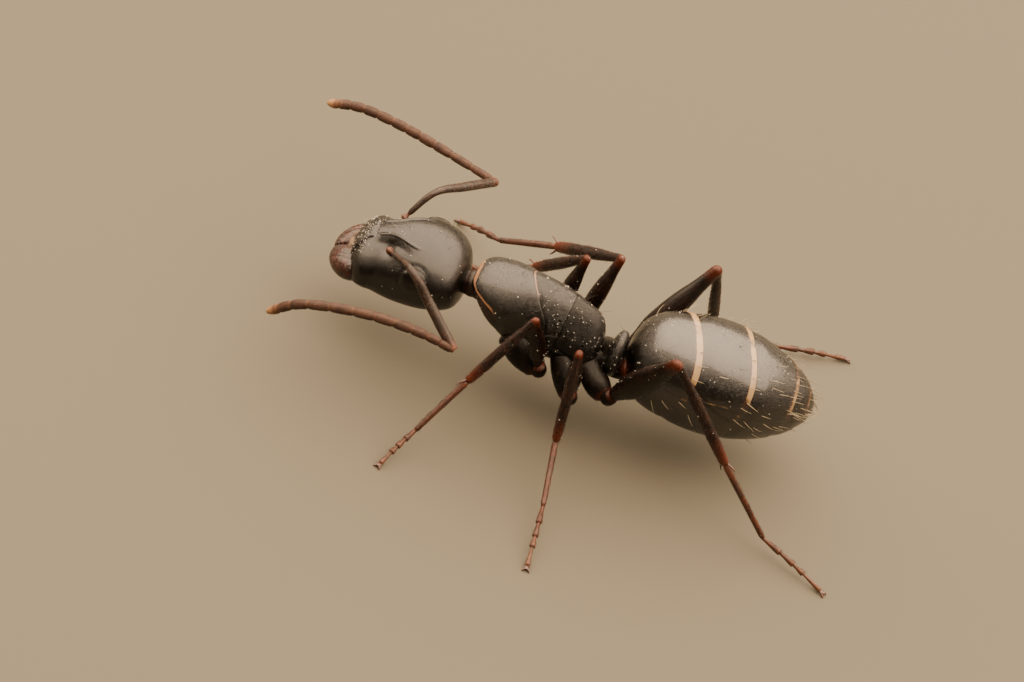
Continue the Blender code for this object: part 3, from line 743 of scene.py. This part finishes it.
def buildTrunk():
    # shield, back and tail plates; the suture between the first two arches forward at the midline and
    # reaches back down the flanks, and its gap is wide over the back and narrow on the flank
    angle = ringAngles(trunk["cols"])
    side = sideTurn(angle)
    places, roll = trunk["suture"], np.radians(trunk["sutureRoll"])
    suture = smoothValues(places[:0:-1] + places, (np.pi + sideTurn(angle - roll)) / (2 * np.pi))
    wide, narrow = trunk["sutureGap"]
    gap = (narrow + (wide - narrow) * (1 - rise(side, 0.6, 1.15))) / 2
    groove = trunk["groove"] + trunk["grooveArch"] * np.cos(angle)
    start, end = trunk["front"] + trunk["poleGap"] + 0 * angle, trunk["rear"] - trunk["poleGap"]
    first, second, third = trunk["rows"]
    shield, x = plateGrid(start, suture - gap, first, 1.0, 0.02)
    back = plateGrid(suture + gap, groove - trunk["grooveGap"], second, 0.98, 0.004)[0]
    tail = plateGrid(groove + trunk["grooveGap"], end, third, 1.0, 0.004)[0]
    inside = rimDistance(x, angle)
    run = 1 - rise(x, trunk["rimRear"] - 0.42, trunk["rimRear"])
    pale = bell(inside - 0.5 * trunk["rimWidth"], trunk["rimWidth"]) * run
    rust = (np.exp(-np.maximum(inside, 0) / 0.09) * 0.8 + 0.3 * rise(-inside, 0.0, 0.05)) * run
    closedSurface("pronotumPlate", shield, "rimmedShell", "chitin", ["pronotum"], rust=rust, pale=pale)
    closedSurface("mesonotumPlate", back, "facedShell", "chitin", ["mesonotum"])
    closedSurface("propodeumPlate", tail, "tailShell", "chitin", ["propodeum"])
    rows, share = roundEnds(trunk["skinRows"], 0.04)
    start, end = trunk["front"] + trunk["skinGap"], trunk["rear"] - trunk["skinGap"]
    x = start + rows[:, None] * (end - start) + 0 * angle
    depth = (trunk["skinShare"] - trunk["skinDrop"] * rise(side, 1.0, 1.45)) * share[:, None]
    pale = bell(x - suture, 0.06) * (1 - rise(side, 0.35, 0.70))
    closedSurface("trunkSkin", drawnIn(trunkPoints(x, angle), depth), "sutureSkin", "chitin",
                  rust=0.7 * pale, pale=1.3 * pale)
    return {"pronotum": shield, "mesonotum": back, "propodeum": tail}


neck = {"front": (-2.12, 0.05, 1.90), "rear": (-1.60, 0.0, 2.03), "radius": 0.215, "flare": 0.25,
        "fold": 0.03}


def buildNeck():
    # short sleeve from the nape into the shield, wider behind, with three soft folds
    rows, share = roundEnds(60, 0.05)
    path = np.linspace(neck["front"], neck["rear"], len(rows))
    radii = neck["radius"] * share * (1 + neck["flare"] * rows + neck["fold"] * np.cos(rows * 6 * np.pi))
    closedSurface("neckSleeve", limbGrid(path, radii, (0, 1, 0), 60, 1.1), "jointSkin", "chitin")


petiole = {"centre": (1.262, 0.0, 1.82), "radii": (0.173, 0.41, 0.55), "square": 0.8, "foot": 0.06,
           "rows": 130, "cols": 130,
           "notch": 0.02, "stalk": ((0.86, 0, 1.50), (1.10, 0, 1.44), (1.36, 0, 1.47), (1.62, 0.0, 1.62)),
           "waist": 0.18}


def buildPetiole():
    # upright scale: a ball flattened fore and aft, a little thinner at the top, thickened at its foot,
    # and a stalk that joins the trunk to the gaster under it
    z, x, y = ballAxes(petiole["rows"], petiole["cols"])
    foot = np.maximum(0, -z) ** 2
    thick = petiole["radii"][0] * (1 - 0.10 * rise(z, 0.2, 1.0)) + petiole["foot"] * foot
    lower = petiole["notch"] * bell(y, 0.3) * rise(z, 0.6, 1.0)
    grid = np.stack((powered(x, petiole["square"]) * thick, y * petiole["radii"][1] * (1 - 0.5 * foot),
                     (z - lower) * petiole["radii"][2]), -1) + np.array(petiole["centre"])
    closedSurface("petioleScale", grid, "facedShell", "chitin", ["petiole"])
    rows, share = roundEnds(60, 0.04)
    waist = petiole["waist"] * (1 + 0.15 * np.cos(rows * 2 * np.pi)) * share
    stalk = limbGrid(smoothValues(petiole["stalk"], rows), waist, (0, 1, 0), 50, 1.1)
    closedSurface("petioleStalk", stalk, "thighShell", "chitin", along=spread(rows, 50))
    return grid


trunkGrids = buildTrunk()
buildNeck()
petioleGrid = buildPetiole()
print("trunk done")


# gaster: an egg of five plates, yawed and drooped at the petiole

gaster = {
    "front": (1.53, -0.05, 2.09), "yaw": 22, "droop": 11, "length": 3.96, "inset": 0.02,
    "rows": (120, 120, 120, 60, 60), "cols": 260,
    "width": (0.0, 0.80, 1.10, 1.16, 0.925, 0.50, 0.0),
    "top": (0.0, 0.81, 1.09, 1.15, 0.91, 0.51, 0.0),
    "under": (0.0, 0.77, 1.03, 1.10, 0.89, 0.50, 0.0),
    # for each plate: its rear edge, how far that runs back on the flank, and its band's width and brightness
    "edges": (0.93, 2.075, 3.27, 3.68, 3.96), "swings": (0.06, 0.10, -0.05, -0.02, 0.0),
    "bandWidths": (0.135, 0.135, 0.10125, 0.0675, 0.054), "bandLights": (1.0, 1.0, 0.52, 0.45, 0.0),
    "rustWidth": 0.05, "overlap": 0.07, "tuck": 0.024, "tuckRun": 0.30, "bellyEdge": 0.09,
    "furrow": 0.022, "bellySink": 0.012,
    "seamAngle": 77, "seamRun": (1.05, 1.45, 1.70, 1.90), "seamLight": 0.62,
}
gasterTurn = turnAbout("Z", gaster["yaw"]) @ turnAbout("Y", gaster["droop"])


def gasterPoints(along, angle, lift):
    # the egg's ring at a distance along its axis, grown by a lift in mm
    turn = np.arccos(np.clip(1 - along / (gaster["length"] / 2), -1, 1)) / np.pi
    top, under = smoothValues(gaster["top"], turn), smoothValues(gaster["under"], turn)
    depth = np.where(np.cos(angle) > 0, top, under)
    lift = lift * np.minimum(1, np.sin(np.pi * turn) * 3)
    out = np.stack((along, np.sin(angle) * (smoothValues(gaster["width"], turn) + lift),
                    np.cos(angle) * (depth + lift)), -1)
    return out @ gasterTurn.T + np.array(gaster["front"])


def plateEdge(index, degrees):
    # a plate's rear edge runs further back down the flank, and comes forward again under the belly
    swing = gaster["swings"][index] * rise(degrees, 0, 55)
    return gaster["edges"][index] + swing - gaster["bellyEdge"] * rise(degrees, 75, 110) * (index < 4)


def bandMarks(index, ahead, degrees):
    # pale band of one width ahead of the rear edge, cream on the upper flank, fading to rust at the midline
    # and below;
    # down the flank the band turns to rust and then dims, partly its own redder side and partly painted shade
    width = gaster["bandWidths"][index]
    band = (1 - rise(ahead, width - 0.030, width + 0.030)) * (index < 4)
    # painted shade: the cream weakens and the rust dims down the flank, by degrees from the top
    creamAndShade = (0.55 + 0.45 * rise(degrees, 3, 14)) * (1 - 0.75 * rise(degrees, 50, 68))
    rust = (1 - rise(ahead, width, width + gaster["rustWidth"])) * (1 - 0.7 * rise(degrees, 55, 80))
    return band * creamAndShade * gaster["bandLights"][index], rust * (index < 4)


def buildGaster():
    # each plate lies over the next: its front is tucked lower and its rear edge stands proud;
    # a furrow along each side parts the back plate from the belly plate, with a pale fold in it
    grids = []
    angle = ringAngles(gaster["cols"])
    side = sideTurn(angle)
    degrees = np.degrees(side)
    for index in range(5):
        rows, share = roundEnds(gaster["rows"][index], 0.010)
        start = plateEdge(index - 1, degrees) - gaster["overlap"] if index else 0 * side
        last = plateEdge(index, degrees)
        along = start + rows[:, None] * (last - start)
        out = rise(along - start, gaster["overlap"], gaster["overlap"] + gaster["tuckRun"])
        tucked = (1 - out) * (index > 0)
        off = (side - np.radians(gaster["seamAngle"])) * 1.1 - 0.05 * np.sin(along * 2.6)
        lift = -gaster["inset"] - gaster["tuck"] * tucked
        lift = lift - gaster["furrow"] * bell(off, 0.022) - gaster["bellySink"] * rise(off, 0.0, 0.04)
        grid = drawnIn(gasterPoints(along, angle, lift), share[:, None])
        pale, rust = bandMarks(index, last - along, degrees)
        fold = bell(off + 0.02, 0.018) * span(along, *gaster["seamRun"])
        number = index + 1
        closedSurface("gasterPlate%d" % number, grid, "bandedShell", "chitin", ["gaster_%d" % number],
                      pale=np.maximum(pale, gaster["seamLight"] * fold), rust=np.maximum(rust, fold))
        grids.append(grid)
    return grids


gasterGrids = buildGaster()
print("gaster done")


# legs: six of one build, posed by angles in degrees

# lengths of femur, tibia, first toe joint and the other four
legPairs = {
    "front": {"lengths": (1.80, 1.80, 1.35, 1.00), "coxaBase": (-0.80, 0.36, 1.62), "spurs": (1,),
              "coxa": (0.27, 0.34, 0.31, 0.17), "thighWidth": 0.180, "shankWidth": 0.118},
    "middle": {"lengths": (2.00, 2.00, 1.35, 1.40), "coxaBase": (0.30, 0.30, 1.56), "spurs": (1, -1),
               "coxa": (0.22, 0.25, 0.23, 0.15), "thighWidth": 0.190, "shankWidth": 0.125},
    "hind": {"lengths": (2.60, 2.50, 1.85, 1.48), "coxaBase": (0.77, 0.28, 1.58), "spurs": (1, -1),
             "coxa": (0.20, 0.24, 0.25, 0.16), "thighWidth": 0.262, "shankWidth": 0.122},
}
legLooks = {
    # shares of the width from hip to knee and from knee to ankle
    "thigh": (0.45, 0.68, 0.95, 1.0, 0.96, 0.84, 0.66, 0.56, 0.50), "thighFlat": 0.80,
    "shank": (0.68, 0.72, 0.88, 0.98, 1.0, 1.0, 0.94, 0.78), "shankFlat": 0.8,
    "ringLength": 0.30, "ring": (0.11, 0.16, 0.155, 0.12), "kneeReach": 0.07, "clawHeight": 0.06,
    "footRows": 300, "footCols": 28,
    "toeSteps": (0.30, 0.53, 0.70), "toeBases": (0.066, 0.040, 0.038, 0.036, 0.030),
    "toeTips": (0.058, 0.066, 0.066, 0.062, 0.050), "toeArch": 0.03, "toeNeck": 0.25, "toeEnd": 0.30,
    "claw": (0.030, 0.026, 0.018, 0.004), "clawLength": 0.17, "clawReach": (0.8, 0.45, 0.35),
    "pad": (0.025, 0.040, 0.030), "spur": (0.022, 0.017, 0.004), "spurLength": 0.22, "spurRoot": 0.05,
    "spurSplay": 0.13, "spurBow": 0.02,
}
legs = {
    "front_left": {"hip": (0.06, 0.64, 1.17), "headings": (-40, -49, -32, -21), "lifts": (66.4, -59, -43)},
    "middle_left": {"hip": (0.79, 0.82, 1.01), "headings": (-14, 41, 13, 7), "lifts": (67, -78, -25)},
    "hind_left": {"hip": (1.42, 0.70, 1.30), "headings": (49, 94, 91, 73), "lifts": (61, -50, -47)},
    "front_right": {"hip": (-0.13, 0.85, 1.08), "headings": (48, -49, -58, -63), "lifts": (83.5, -51, -52)},
    "middle_right": {"hip": (0.33, 0.98, 0.86), "headings": (29, -52, -72, -45), "lifts": (72, -38, -34)},
    "hind_right": {"hip": (1.34, 1.10, 0.87), "headings": (47.6, 31, 48, 66), "lifts": (56.3, -69, -17)},
}


def legJoints(name):
    # hip, knee, ankle, heel and claw: each is the last one plus a length turned by a heading and a lift;
    # the toes' lift is the one that brings the claw to its height over the floor
    pair, word = name.split("_")
    pose = legs[name]
    joints = [np.array(pose["hip"]) * (1, sides[word], 1)]
    for index, length in enumerate(legPairs[pair]["lengths"]):
        if index < 3:
            lift = np.radians(pose["lifts"][index])
        else:
            lift = np.arcsin((legLooks["clawHeight"] - joints[-1][2]) / length)
        heading = np.radians(pose["headings"][index])
        level = np.array([np.sin(heading), sides[word] * np.cos(heading)]) * np.cos(lift)
        joints.append(joints[-1] + length * np.append(level, np.sin(lift)))
    return joints


def limbPiece(name, points, profile, side, finish, slot, nodes, steps, cols, flat=1.0, sharp=0.05):
    # radius from a profile of even values, carried along a smooth path between two domes
    rows, share = domeEnds(steps, sharp)
    grid = limbGrid(smoothValues(points, rows), smoothValues(profile, rows) * share, side, cols, flat)
    closedSurface(name, grid, finish, slot, nodes, along=spread(rows, cols))
    return grid


def buildTarsus(name, title, ankle, heel, claw, side):
    # long first joint, three short ones that widen to their ends, and a slim last one that holds the claws
    rows, share = roundEnds(legLooks["footRows"], 0.008)
    first = np.linalg.norm(heel - ankle)
    split = first / (first + np.linalg.norm(claw - heel))
    knots = np.vstack((ankle, (ankle + heel) / 2, heel))
    lower = np.vstack((heel, (heel + claw) / 2 + (0, 0, legLooks["toeArch"]), claw))
    path = np.where(rows[:, None] < split, smoothValues(knots, rows / split),
                    smoothValues(lower, (rows - split) / (1 - split)))
    steps = np.array([0, split, *(split + (1 - split) * np.array(legLooks["toeSteps"])), 1.0])
    index = np.clip(np.searchsorted(steps, rows, side="right") - 1, 0, 4)
    t = (rows - steps[index]) / (steps[index + 1] - steps[index])
    base, tip = np.array(legLooks["toeBases"])[index], np.array(legLooks["toeTips"])[index]
    radii = base + (tip - base) * rise(t, 0.1, 0.9)
    radii = radii * (1 - legLooks["toeEnd"] * rise(t, 0.955, 1.0))
    radii = radii * (1 - legLooks["toeNeck"] * (1 - rise(t, 0.0, 0.05)))
    cols = legLooks["footCols"]
    grid = limbGrid(path, radii * share, side, cols, 0.9)
    closedSurface("tarsus" + title, grid, "footShell", "foot", ["tarsus_" + name], along=spread(rows, cols))
    return grid


def buildClaws(title, heel, claw):
    # two hooks, each an arc that leaves forward and out and bends down to the floor: forward sin 1.5t,
    # out t, down 1 - cos 1.5t; a soft pad between them
    forward = unit(unit(claw - heel) * (1, 1, 0.2))
    across = unit(np.cross(forward, (0, 0, 1.0)))
    t = np.linspace(0, 1, 5)[:, None]
    ahead, out, down = legLooks["clawReach"]
    for index, way in enumerate((-1, 1)):
        arc = forward * np.sin(t * 1.5) * ahead + across * way * out * t
        arc = arc + np.array([0, 0, -1.0]) * (1 - np.cos(t * 1.5)) * down
        limbPiece("claw%s%d" % (title, index + 1), claw - forward * 0.02 + legLooks["clawLength"] * arc,
                  legLooks["claw"], (0, 0, 1), "clawHorn", "foot", (), steps=40, cols=14, flat=0.8)
    pad = claw + forward * np.array([[-0.01], [0.05], [0.10]])
    limbPiece("footPad" + title, pad, legLooks["pad"], (0, 0, 1), "clawHorn", "foot", (),
              steps=20, cols=16, flat=0.7)


def buildSpurs(title, ankle, knee, side, ways):
    # one or two stout spines under the shank's end, splayed from its axis
    axis = unit(ankle - knee)
    for index, way in enumerate(ways):
        across = unit(np.cross(axis, side)) * way
        start = ankle + (across - axis) * legLooks["spurRoot"]
        tip = start + axis * legLooks["spurLength"] + across * legLooks["spurSplay"]
        middle = (start + tip) / 2 + across * legLooks["spurBow"]
        limbPiece("spur%s%d" % (title, index + 1), [start, middle, tip], legLooks["spur"], side,
                  "clawHorn", "leg", (), steps=30, cols=12)


def buildLeg(name):
    # coxa from the trunk to the hip, trochanter ring, femur to just past the knee, tibia, and the foot
    pair, word = name.split("_")
    title, build = pair.title() + word.title(), legPairs[pair]
    hip, knee, ankle, heel, claw = legJoints(name)
    base = np.array(build["coxaBase"]) * (1, sides[word], 1)
    side = unit(np.cross(knee - hip, ankle - knee))
    thigh, shin = unit(knee - hip), unit(ankle - knee) * legLooks["kneeReach"]
    ringEnd, kneeEnd = hip + thigh * legLooks["ringLength"], knee + thigh * legLooks["kneeReach"]
    coxa = limbPiece("coxa" + title, [base, (base + hip) / 2, hip], build["coxa"], side,
                     "hipShell", "leg", ["coxa_" + name], steps=90, cols=60, sharp=0.10)
    limbPiece("trochanter" + title, [hip - unit(hip - base) * 0.05, hip + (ringEnd - hip) * 0.4, ringEnd],
              legLooks["ring"], side, "hipShell", "leg", ["trochanter_" + name],
              steps=50, cols=40, sharp=0.20)
    femur = limbPiece("femur" + title, [ringEnd - (knee - hip) * 0.02, (ringEnd + kneeEnd) / 2, kneeEnd],
                      build["thighWidth"] * np.array(legLooks["thigh"]), side,
                      "thighShell", "leg", ["femur_" + name], steps=130, cols=48, flat=legLooks["thighFlat"])
    tibia = limbPiece("tibia" + title, [knee - shin * 0.6, (knee + ankle) / 2, ankle + shin * 0.3],
                      build["shankWidth"] * np.array(legLooks["shank"]), side,
                      "shankShell", "leg", ["tibia_" + name], steps=120, cols=36,
                      flat=legLooks["shankFlat"], sharp=0.045)
    tarsus = buildTarsus(name, title, ankle, heel, claw, side)
    buildSpurs(title, ankle, knee, side, build["spurs"])
    buildClaws(title, heel, claw)
    return {"coxa": coxa, "femur": femur, "tibia": tibia, "tarsus": tarsus}


legGrids = {name: buildLeg(name) for name in legs}
print("legs done")


# hairs: each kind's lengths and root radius in mm, how far it stands off the surface, how far it leans
# down the rows, how much it curls back, how much it strays, and how many rings it has

downHair = {"finish": "paleDown", "thick": 0.0018, "lean": 1.0, "curl": 0.3, "mess": 0.2, "rings": 4}
bristleHair = {"finish": "goldHair", "lean": 1.0, "rings": 7}
hairKinds = {
    "headDown": {**downHair, "length": (0.02, 0.045), "stand": (0.15, 0.5)},
    "trunkDown": {**downHair, "length": (0.03, 0.06), "stand": (0.2, 0.5)},
    "gasterDown": {**downHair, "length": (0.04, 0.08), "stand": (0.08, 0.22), "curl": 0.1, "mess": 0.12},
    "legDown": {**downHair, "length": (0.05, 0.10), "stand": (0.25, 0.6), "thick": 0.0026,
                "finish": "darkHair"},
    "feelerDown": {**downHair, "length": (0.02, 0.045), "stand": (0.35, 0.8)},
    "headBristle": {**bristleHair, "length": (0.08, 0.20), "stand": (0.8, 1.6), "thick": 0.0042,
                    "curl": 0.2, "mess": 0.25, "lean": -1.0},
    "trunkBristle": {**bristleHair, "length": (0.18, 0.36), "stand": (1.5, 3.0), "thick": 0.0045,
                     "curl": 0.25, "mess": 0.25, "lean": 0.8, "finish": "darkHair"},
    "gasterBristle": {**bristleHair, "length": (0.18, 0.32), "stand": (0.60, 1.40), "thick": 0.0085,
                      "curl": 0.22, "mess": 0.15},
}
# depth of a root under the surface in mm; in the OFBake map, the width of a hair's patch, where the
# first box lies, how far apart the boxes are and how big each is, five to a row
hairRoot = {"sink": 0.004, "patch": 0.003, "mapStart": 0.02, "mapStep": (0.2, 0.3), "mapBox": (0.18, 0.26)}


def scatter(grid, count, mask=1.0):
    # random cells of a grid, chosen by their area times the mask: a place in each, its normal,
    # its direction down the rows, and how far round and down the grid it is, from 0 to 1
    normals = gridNormals(grid)
    down, around = gridSteps(grid)
    weight = np.linalg.norm(np.cross(down, around), axis=-1) * mask
    weight[:4] = 0
    weight[-4:] = 0
    chosen = random.choice(weight.size, count, p=weight.ravel() / weight.sum())
    shift = random.random((count, 2))
    row, col = chosen // grid.shape[1], chosen % grid.shape[1]
    root = grid[row, col] + down[row, col] * (shift[:, :1] - 0.5) + around[row, col] * (shift[:, 1:] - 0.5)
    share = np.stack((col / grid.shape[1], row / grid.shape[0]), -1)
    return root, normals[row, col], unit(down[row, col]), share


def hairBatch(kind, box, grid, count, mask=1.0):
    # three-sided hairs: each centre line is root + way * t + bend * t squared, its radius falls to a point;
    # each hair's patch in the OFBake map lies at its root's own place in the grid's box of that map
    look = hairKinds[kind]
    root, normal, down, share = scatter(grid, count, mask)
    root = root - normal * hairRoot["sink"]
    stands = random.uniform(*look["stand"], (count, 1))
    way = unit(normal * stands + down * look["lean"] + random.normal(0, look["mess"], (count, 3)))
    bend = down * look["curl"] * 0.5 - normal * look["curl"] * random.uniform(0.2, 1.0, (count, 1))
    length = random.uniform(*look["length"], count)[:, None]
    t = np.arange(look["rings"]) / look["rings"]
    rows = t[None, :, None]
    line = root[:, None] + length[..., None] * (way[:, None] * rows + bend[:, None] * rows * rows)
    first = unit(np.cross(way, bend + np.array([0.013, 0.007, 0.011])))
    second = unit(np.cross(way, first))
    angle = ringAngles(3)[:, None]
    ring = np.cos(angle) * first[:, None] + np.sin(angle) * second[:, None]
    tube = line[:, :, None] + ring[:, None] * look["thick"] * (1 - 0.8 * rows[..., None])
    verts = np.concatenate((tube.reshape(count, -1, 3), (root + length * (way + bend))[:, None]), 1)
    along = np.append(np.repeat(t, 3), 1.0)
    side = np.append(np.tile([0, 0.5, 1.0], look["rings"]), 0.5)
    patch = hairRoot["patch"] * np.stack((side, along + 0.13 * (side == 0.5)), -1)
    corner = hairRoot["mapStart"] + np.array(hairRoot["mapStep"]) * (box % 5, box // 5)
    corner = corner + share * hairRoot["mapBox"]
    return verts, np.tile(along, (count, 1)), corner[:, None] + patch


def coatPiece(name, kind, batches):
    # joins batches of hairs, each given as its box of the map, its grid, its count and its mask
    rings = hairKinds[kind]["rings"]
    verts, alongs, maps = map(np.concatenate, zip(*(hairBatch(kind, *batch) for batch in batches)))
    count, size = verts.shape[:2]
    step = np.arange(rings - 1)[:, None] * 3
    here, there = np.arange(3)[None], (np.arange(3)[None] + 1) % 3
    quads = np.stack((step + here, step + there, step + there + 3, step + here + 3), -1).reshape(-1, 4)
    tips = np.stack((step[-1] + 3 + here[0], step[-1] + 3 + there[0], np.full(3, size - 1)), -1)
    tris = np.concatenate((tips, [[2, 1, 0]]))
    start = np.arange(count)[:, None, None] * size
    quads, tris = (quads + start).reshape(-1, 4), (tris + start).reshape(-1, 3)
    obj = makeObject(name, verts.reshape(-1, 3), quads, tris, {"along": alongs.ravel()}, maps.reshape(-1, 2))
    print(name, count, "hairs")
    return addPiece(obj, hairKinds[kind]["finish"])


def upper(grid, low, high):
    # mask that grows from the flanks to the back
    return rise(gridNormals(grid)[..., 2], low, high)


def flank(grid):
    # mask that is full where the surface leans outward, and fades to the back and the belly
    return bell(gridNormals(grid)[..., 2] - 0.4, 0.50)


def edgeRow(grid, near, width):
    # mask round one part of the rows, given as a share of them
    return bell(np.linspace(0, 1, len(grid))[:, None] - near, width)


def faceMask():
    # the lip plate and the face in front of the feeler sockets
    x, y, z = np.moveaxis((headGrid - np.array(head["centre"])) @ headTurn, -1, 0)
    return bell(x + 0.68, 0.15) * rise(z, 0.02, 0.20) * (1 - rise(np.abs(y), 0.46, 0.62))


# number of hairs on the head, the face and the crown, on each plate from front to rear, and on each limb
coat = {
    "head": 500, "face": 14, "crown": 8, "trunk": 160, "backBristles": (4, 3, 6), "petioleBristles": 5,
    "gaster": (420, 520, 460, 160, 90), "gasterMiddles": (5, 10, 18, 12, 12),
    "gasterEdges": (14, 20, 26, 20, 12),
    "femur": 130, "tibia": 420, "coxa": 40, "tarsus": 420, "scape": 420, "whip": 1300,
}


def buildCoat():
    # down and bristles, from head to feelers
    plates, limbs = list(trunkGrids.values()), list(legGrids.values())
    coatPiece("headDown", "headDown", [(0, headGrid, coat["head"])])
    coatPiece("headBristles", "headBristle", [
        (0, headGrid, coat["face"], faceMask()), (0, headGrid, coat["crown"], upper(headGrid, 0.5, 0.9))])
    coatPiece("trunkDown", "trunkDown",
              [(k, grid, coat["trunk"]) for k, grid in enumerate(plates)])
    bristles = [(k, grid, coat["backBristles"][k], upper(grid, 0.6, 0.95)) for k, grid in enumerate(plates)]
    bristles.append((3, petioleGrid, coat["petioleBristles"], upper(petioleGrid, 0.5, 0.9)))
    coatPiece("trunkBristles", "trunkBristle", bristles)
    coatPiece("gasterDown", "gasterDown",
              [(k, grid, coat["gaster"][k]) for k, grid in enumerate(gasterGrids)])
    bristles = []
    for k, grid in enumerate(gasterGrids):
        back = 0.05 + flank(grid)
        bristles.append((k, grid, coat["gasterMiddles"][k], edgeRow(grid, 0.5, 0.25) * back))
        bristles.append((k, grid, coat["gasterEdges"][k], edgeRow(grid, 0.90, 0.035) * back))
    coatPiece("gasterBristles", "gasterBristle", bristles)
    coatPiece("legDown", "legDown", [
        (k + shift, grids[part], coat[part]) for k, grids in enumerate(limbs)
        for part, shift in (("femur", 0), ("tibia", 6), ("coxa", 6))])
    feet = [grids["tarsus"] for grids in limbs]
    coatPiece("footDown", "legDown",
              [(k, grid, coat["tarsus"], upper(grid, -0.3, 0.2)) for k, grid in enumerate(feet)])
    whips = [*scapeGrids.values(), *whipGrids.values()]
    coatPiece("feelerDown", "feelerDown", [
        (k, grid, coat["scape" if k < 2 else "whip"]) for k, grid in enumerate(whips)])


buildCoat()


dust = {"size": (0.007, 0.019), "squash": (0.5, 1.3), "lift": 0.004, "face": 130, "head": 18,
        "plates": (10, 70, 95), "petiole": 22, "gaster": 22, "femur": 9, "tibia": 7}


def buildDust():
    # pale grains: eight-sided beads of random size and squash, resting on the shell
    batches = [(headGrid, dust["face"], faceMask()), (headGrid, dust["head"], upper(headGrid, -0.3, 0.5))]
    batches += [(grid, count, 0.1 + flank(grid)) for grid, count in zip(trunkGrids.values(), dust["plates"])]
    batches += [(petioleGrid, dust["petiole"])]
    batches += [(grid, dust["gaster"], upper(grid, -0.5, 0.4)) for grid in gasterGrids[:3]]
    batches += [(grids[part], dust[part]) for grids in legGrids.values() for part in ("femur", "tibia")]
    root, normal = map(np.concatenate, zip(*(scatter(*batch)[:2] for batch in batches)))
    count = len(root)
    corners = np.array([(1, 0, 0), (-1, 0, 0), (0, 1, 0), (0, -1, 0), (0, 0, 1), (0, 0, -1)], float)
    size = random.uniform(*dust["size"], (count, 1, 1)) * random.uniform(*dust["squash"], (count, 6, 1))
    verts = (root + normal * dust["lift"])[:, None] + corners * size
    faces = np.array([(0, 2, 4), (2, 1, 4), (1, 3, 4), (3, 0, 4), (2, 0, 5), (1, 2, 5), (3, 1, 5), (0, 3, 5)])
    tris = (faces + np.arange(count)[:, None, None] * 6).reshape(-1, 3)
    grains = makeObject("dustGrains", verts.reshape(-1, 3), np.zeros((0, 4), int), tris)
    addPiece(grains, "dustGrain")


buildDust()
print("coat and dust done")


# studio: floor, soft boxes and camera

studio = {
    "azimuth": 0, "elevation": 42, "roll": 24, "distance": 110, "fieldWidth": 19.69, "shift": (-0.271, 0.977),
    "floor": (0.076, 0.070, 0.052), "floorRoughness": 0.9, "floorSize": 3.0,
    "sky": (0.60, 0.48, 0.36), "skyStrength": 0.08, "backdrop": (0.57, 0.40, 0.22),
    # left, right, near and far edge in metres, and radiance, of the soft box and of the dimmer one in front
    "boxes": {"overheadBox": (-1.00, 0.42, -0.10, 0.55, 9.5), "frontBox": (-0.90, 0.10, -0.28, -0.10, 0.8)},
    "boxHeight": 0.20, "boxColour": (1.0, 0.74, 0.505),
}


def buildFloor():
    # flat matt square at height 0
    bpy.ops.mesh.primitive_plane_add(size=studio["floorSize"], location=(0, 0, 0))
    floor = bpy.context.object
    floor.name = "floor"
    material, _, shader = newMaterial("paleFloor")
    shader["Base Color"].default_value = solid(studio["floor"])
    shader["Roughness"].default_value = studio["floorRoughness"]
    floor.data.materials.append(material)


def buildLights():
    # a dim sky that the lens sees as a pale backdrop, a wide soft box overhead and a dimmer one in front
    world = bpy.data.worlds.new("studioSky")
    world.use_nodes = True
    tree = world.node_tree
    light = tree.nodes["Background"]
    light.inputs["Color"].default_value = solid(studio["sky"])
    light.inputs["Strength"].default_value = studio["skyStrength"]
    backdrop = addNode(tree, "ShaderNodeBackground", Color=solid(studio["backdrop"]), Strength=1.0)
    path = tree.nodes.new("ShaderNodeLightPath")
    chosen = addNode(tree, "ShaderNodeMixShader", _0=path.outputs["Is Camera Ray"],
                     _1=light.outputs[0], _2=backdrop.outputs[0])
    tree.links.new(chosen.outputs[0], tree.nodes["World Output"].inputs["Surface"])
    bpy.context.scene.world = world
    for name, (left, right, near, far, radiance) in studio["boxes"].items():
        box = bpy.data.lights.new(name, "AREA")
        box.shape = "RECTANGLE"
        box.size = right - left
        box.size_y = far - near
        box.energy = radiance * np.pi * box.size * box.size_y
        box.color = studio["boxColour"]
        lamp = bpy.data.objects.new(name, box)
        lamp.location = ((right + left) / 2, (far + near) / 2, studio["boxHeight"])
        lamp.visible_camera = False
        bpy.context.scene.collection.objects.link(lamp)


def buildCamera():
    # right, up and look are turned by azimuth, elevation and roll; the camera backs off along look
    a, e, r = (np.radians(studio[key]) for key in ("azimuth", "elevation", "roll"))
    right = np.array([np.cos(a), np.sin(a), 0])
    look = np.array([-np.sin(a) * np.cos(e), np.cos(a) * np.cos(e), -np.sin(e)])
    up = np.cross(right, look)
    rolledRight = right * np.cos(r) + up * np.sin(r)
    rolledUp = up * np.cos(r) - right * np.sin(r)
    shiftRight, shiftUp = studio["shift"]
    place = rolledRight * shiftRight + rolledUp * shiftUp - look * studio["distance"] - antOrigin
    camera = bpy.data.cameras.new("camera")
    camera.sensor_width = 36
    camera.lens = 36 * studio["distance"] / studio["fieldWidth"]
    camera.clip_start = 0.001
    camera.clip_end = 10
    holder = bpy.data.objects.new("camera", camera)
    columns = np.stack((rolledRight, rolledUp, -look, place * mm), axis=1)
    holder.matrix_world = Matrix([*columns.tolist(), [0, 0, 0, 1]])
    bpy.context.scene.collection.objects.link(holder)
    bpy.context.scene.camera = holder


buildFloor()
buildLights()
buildCamera()
print("studio done")
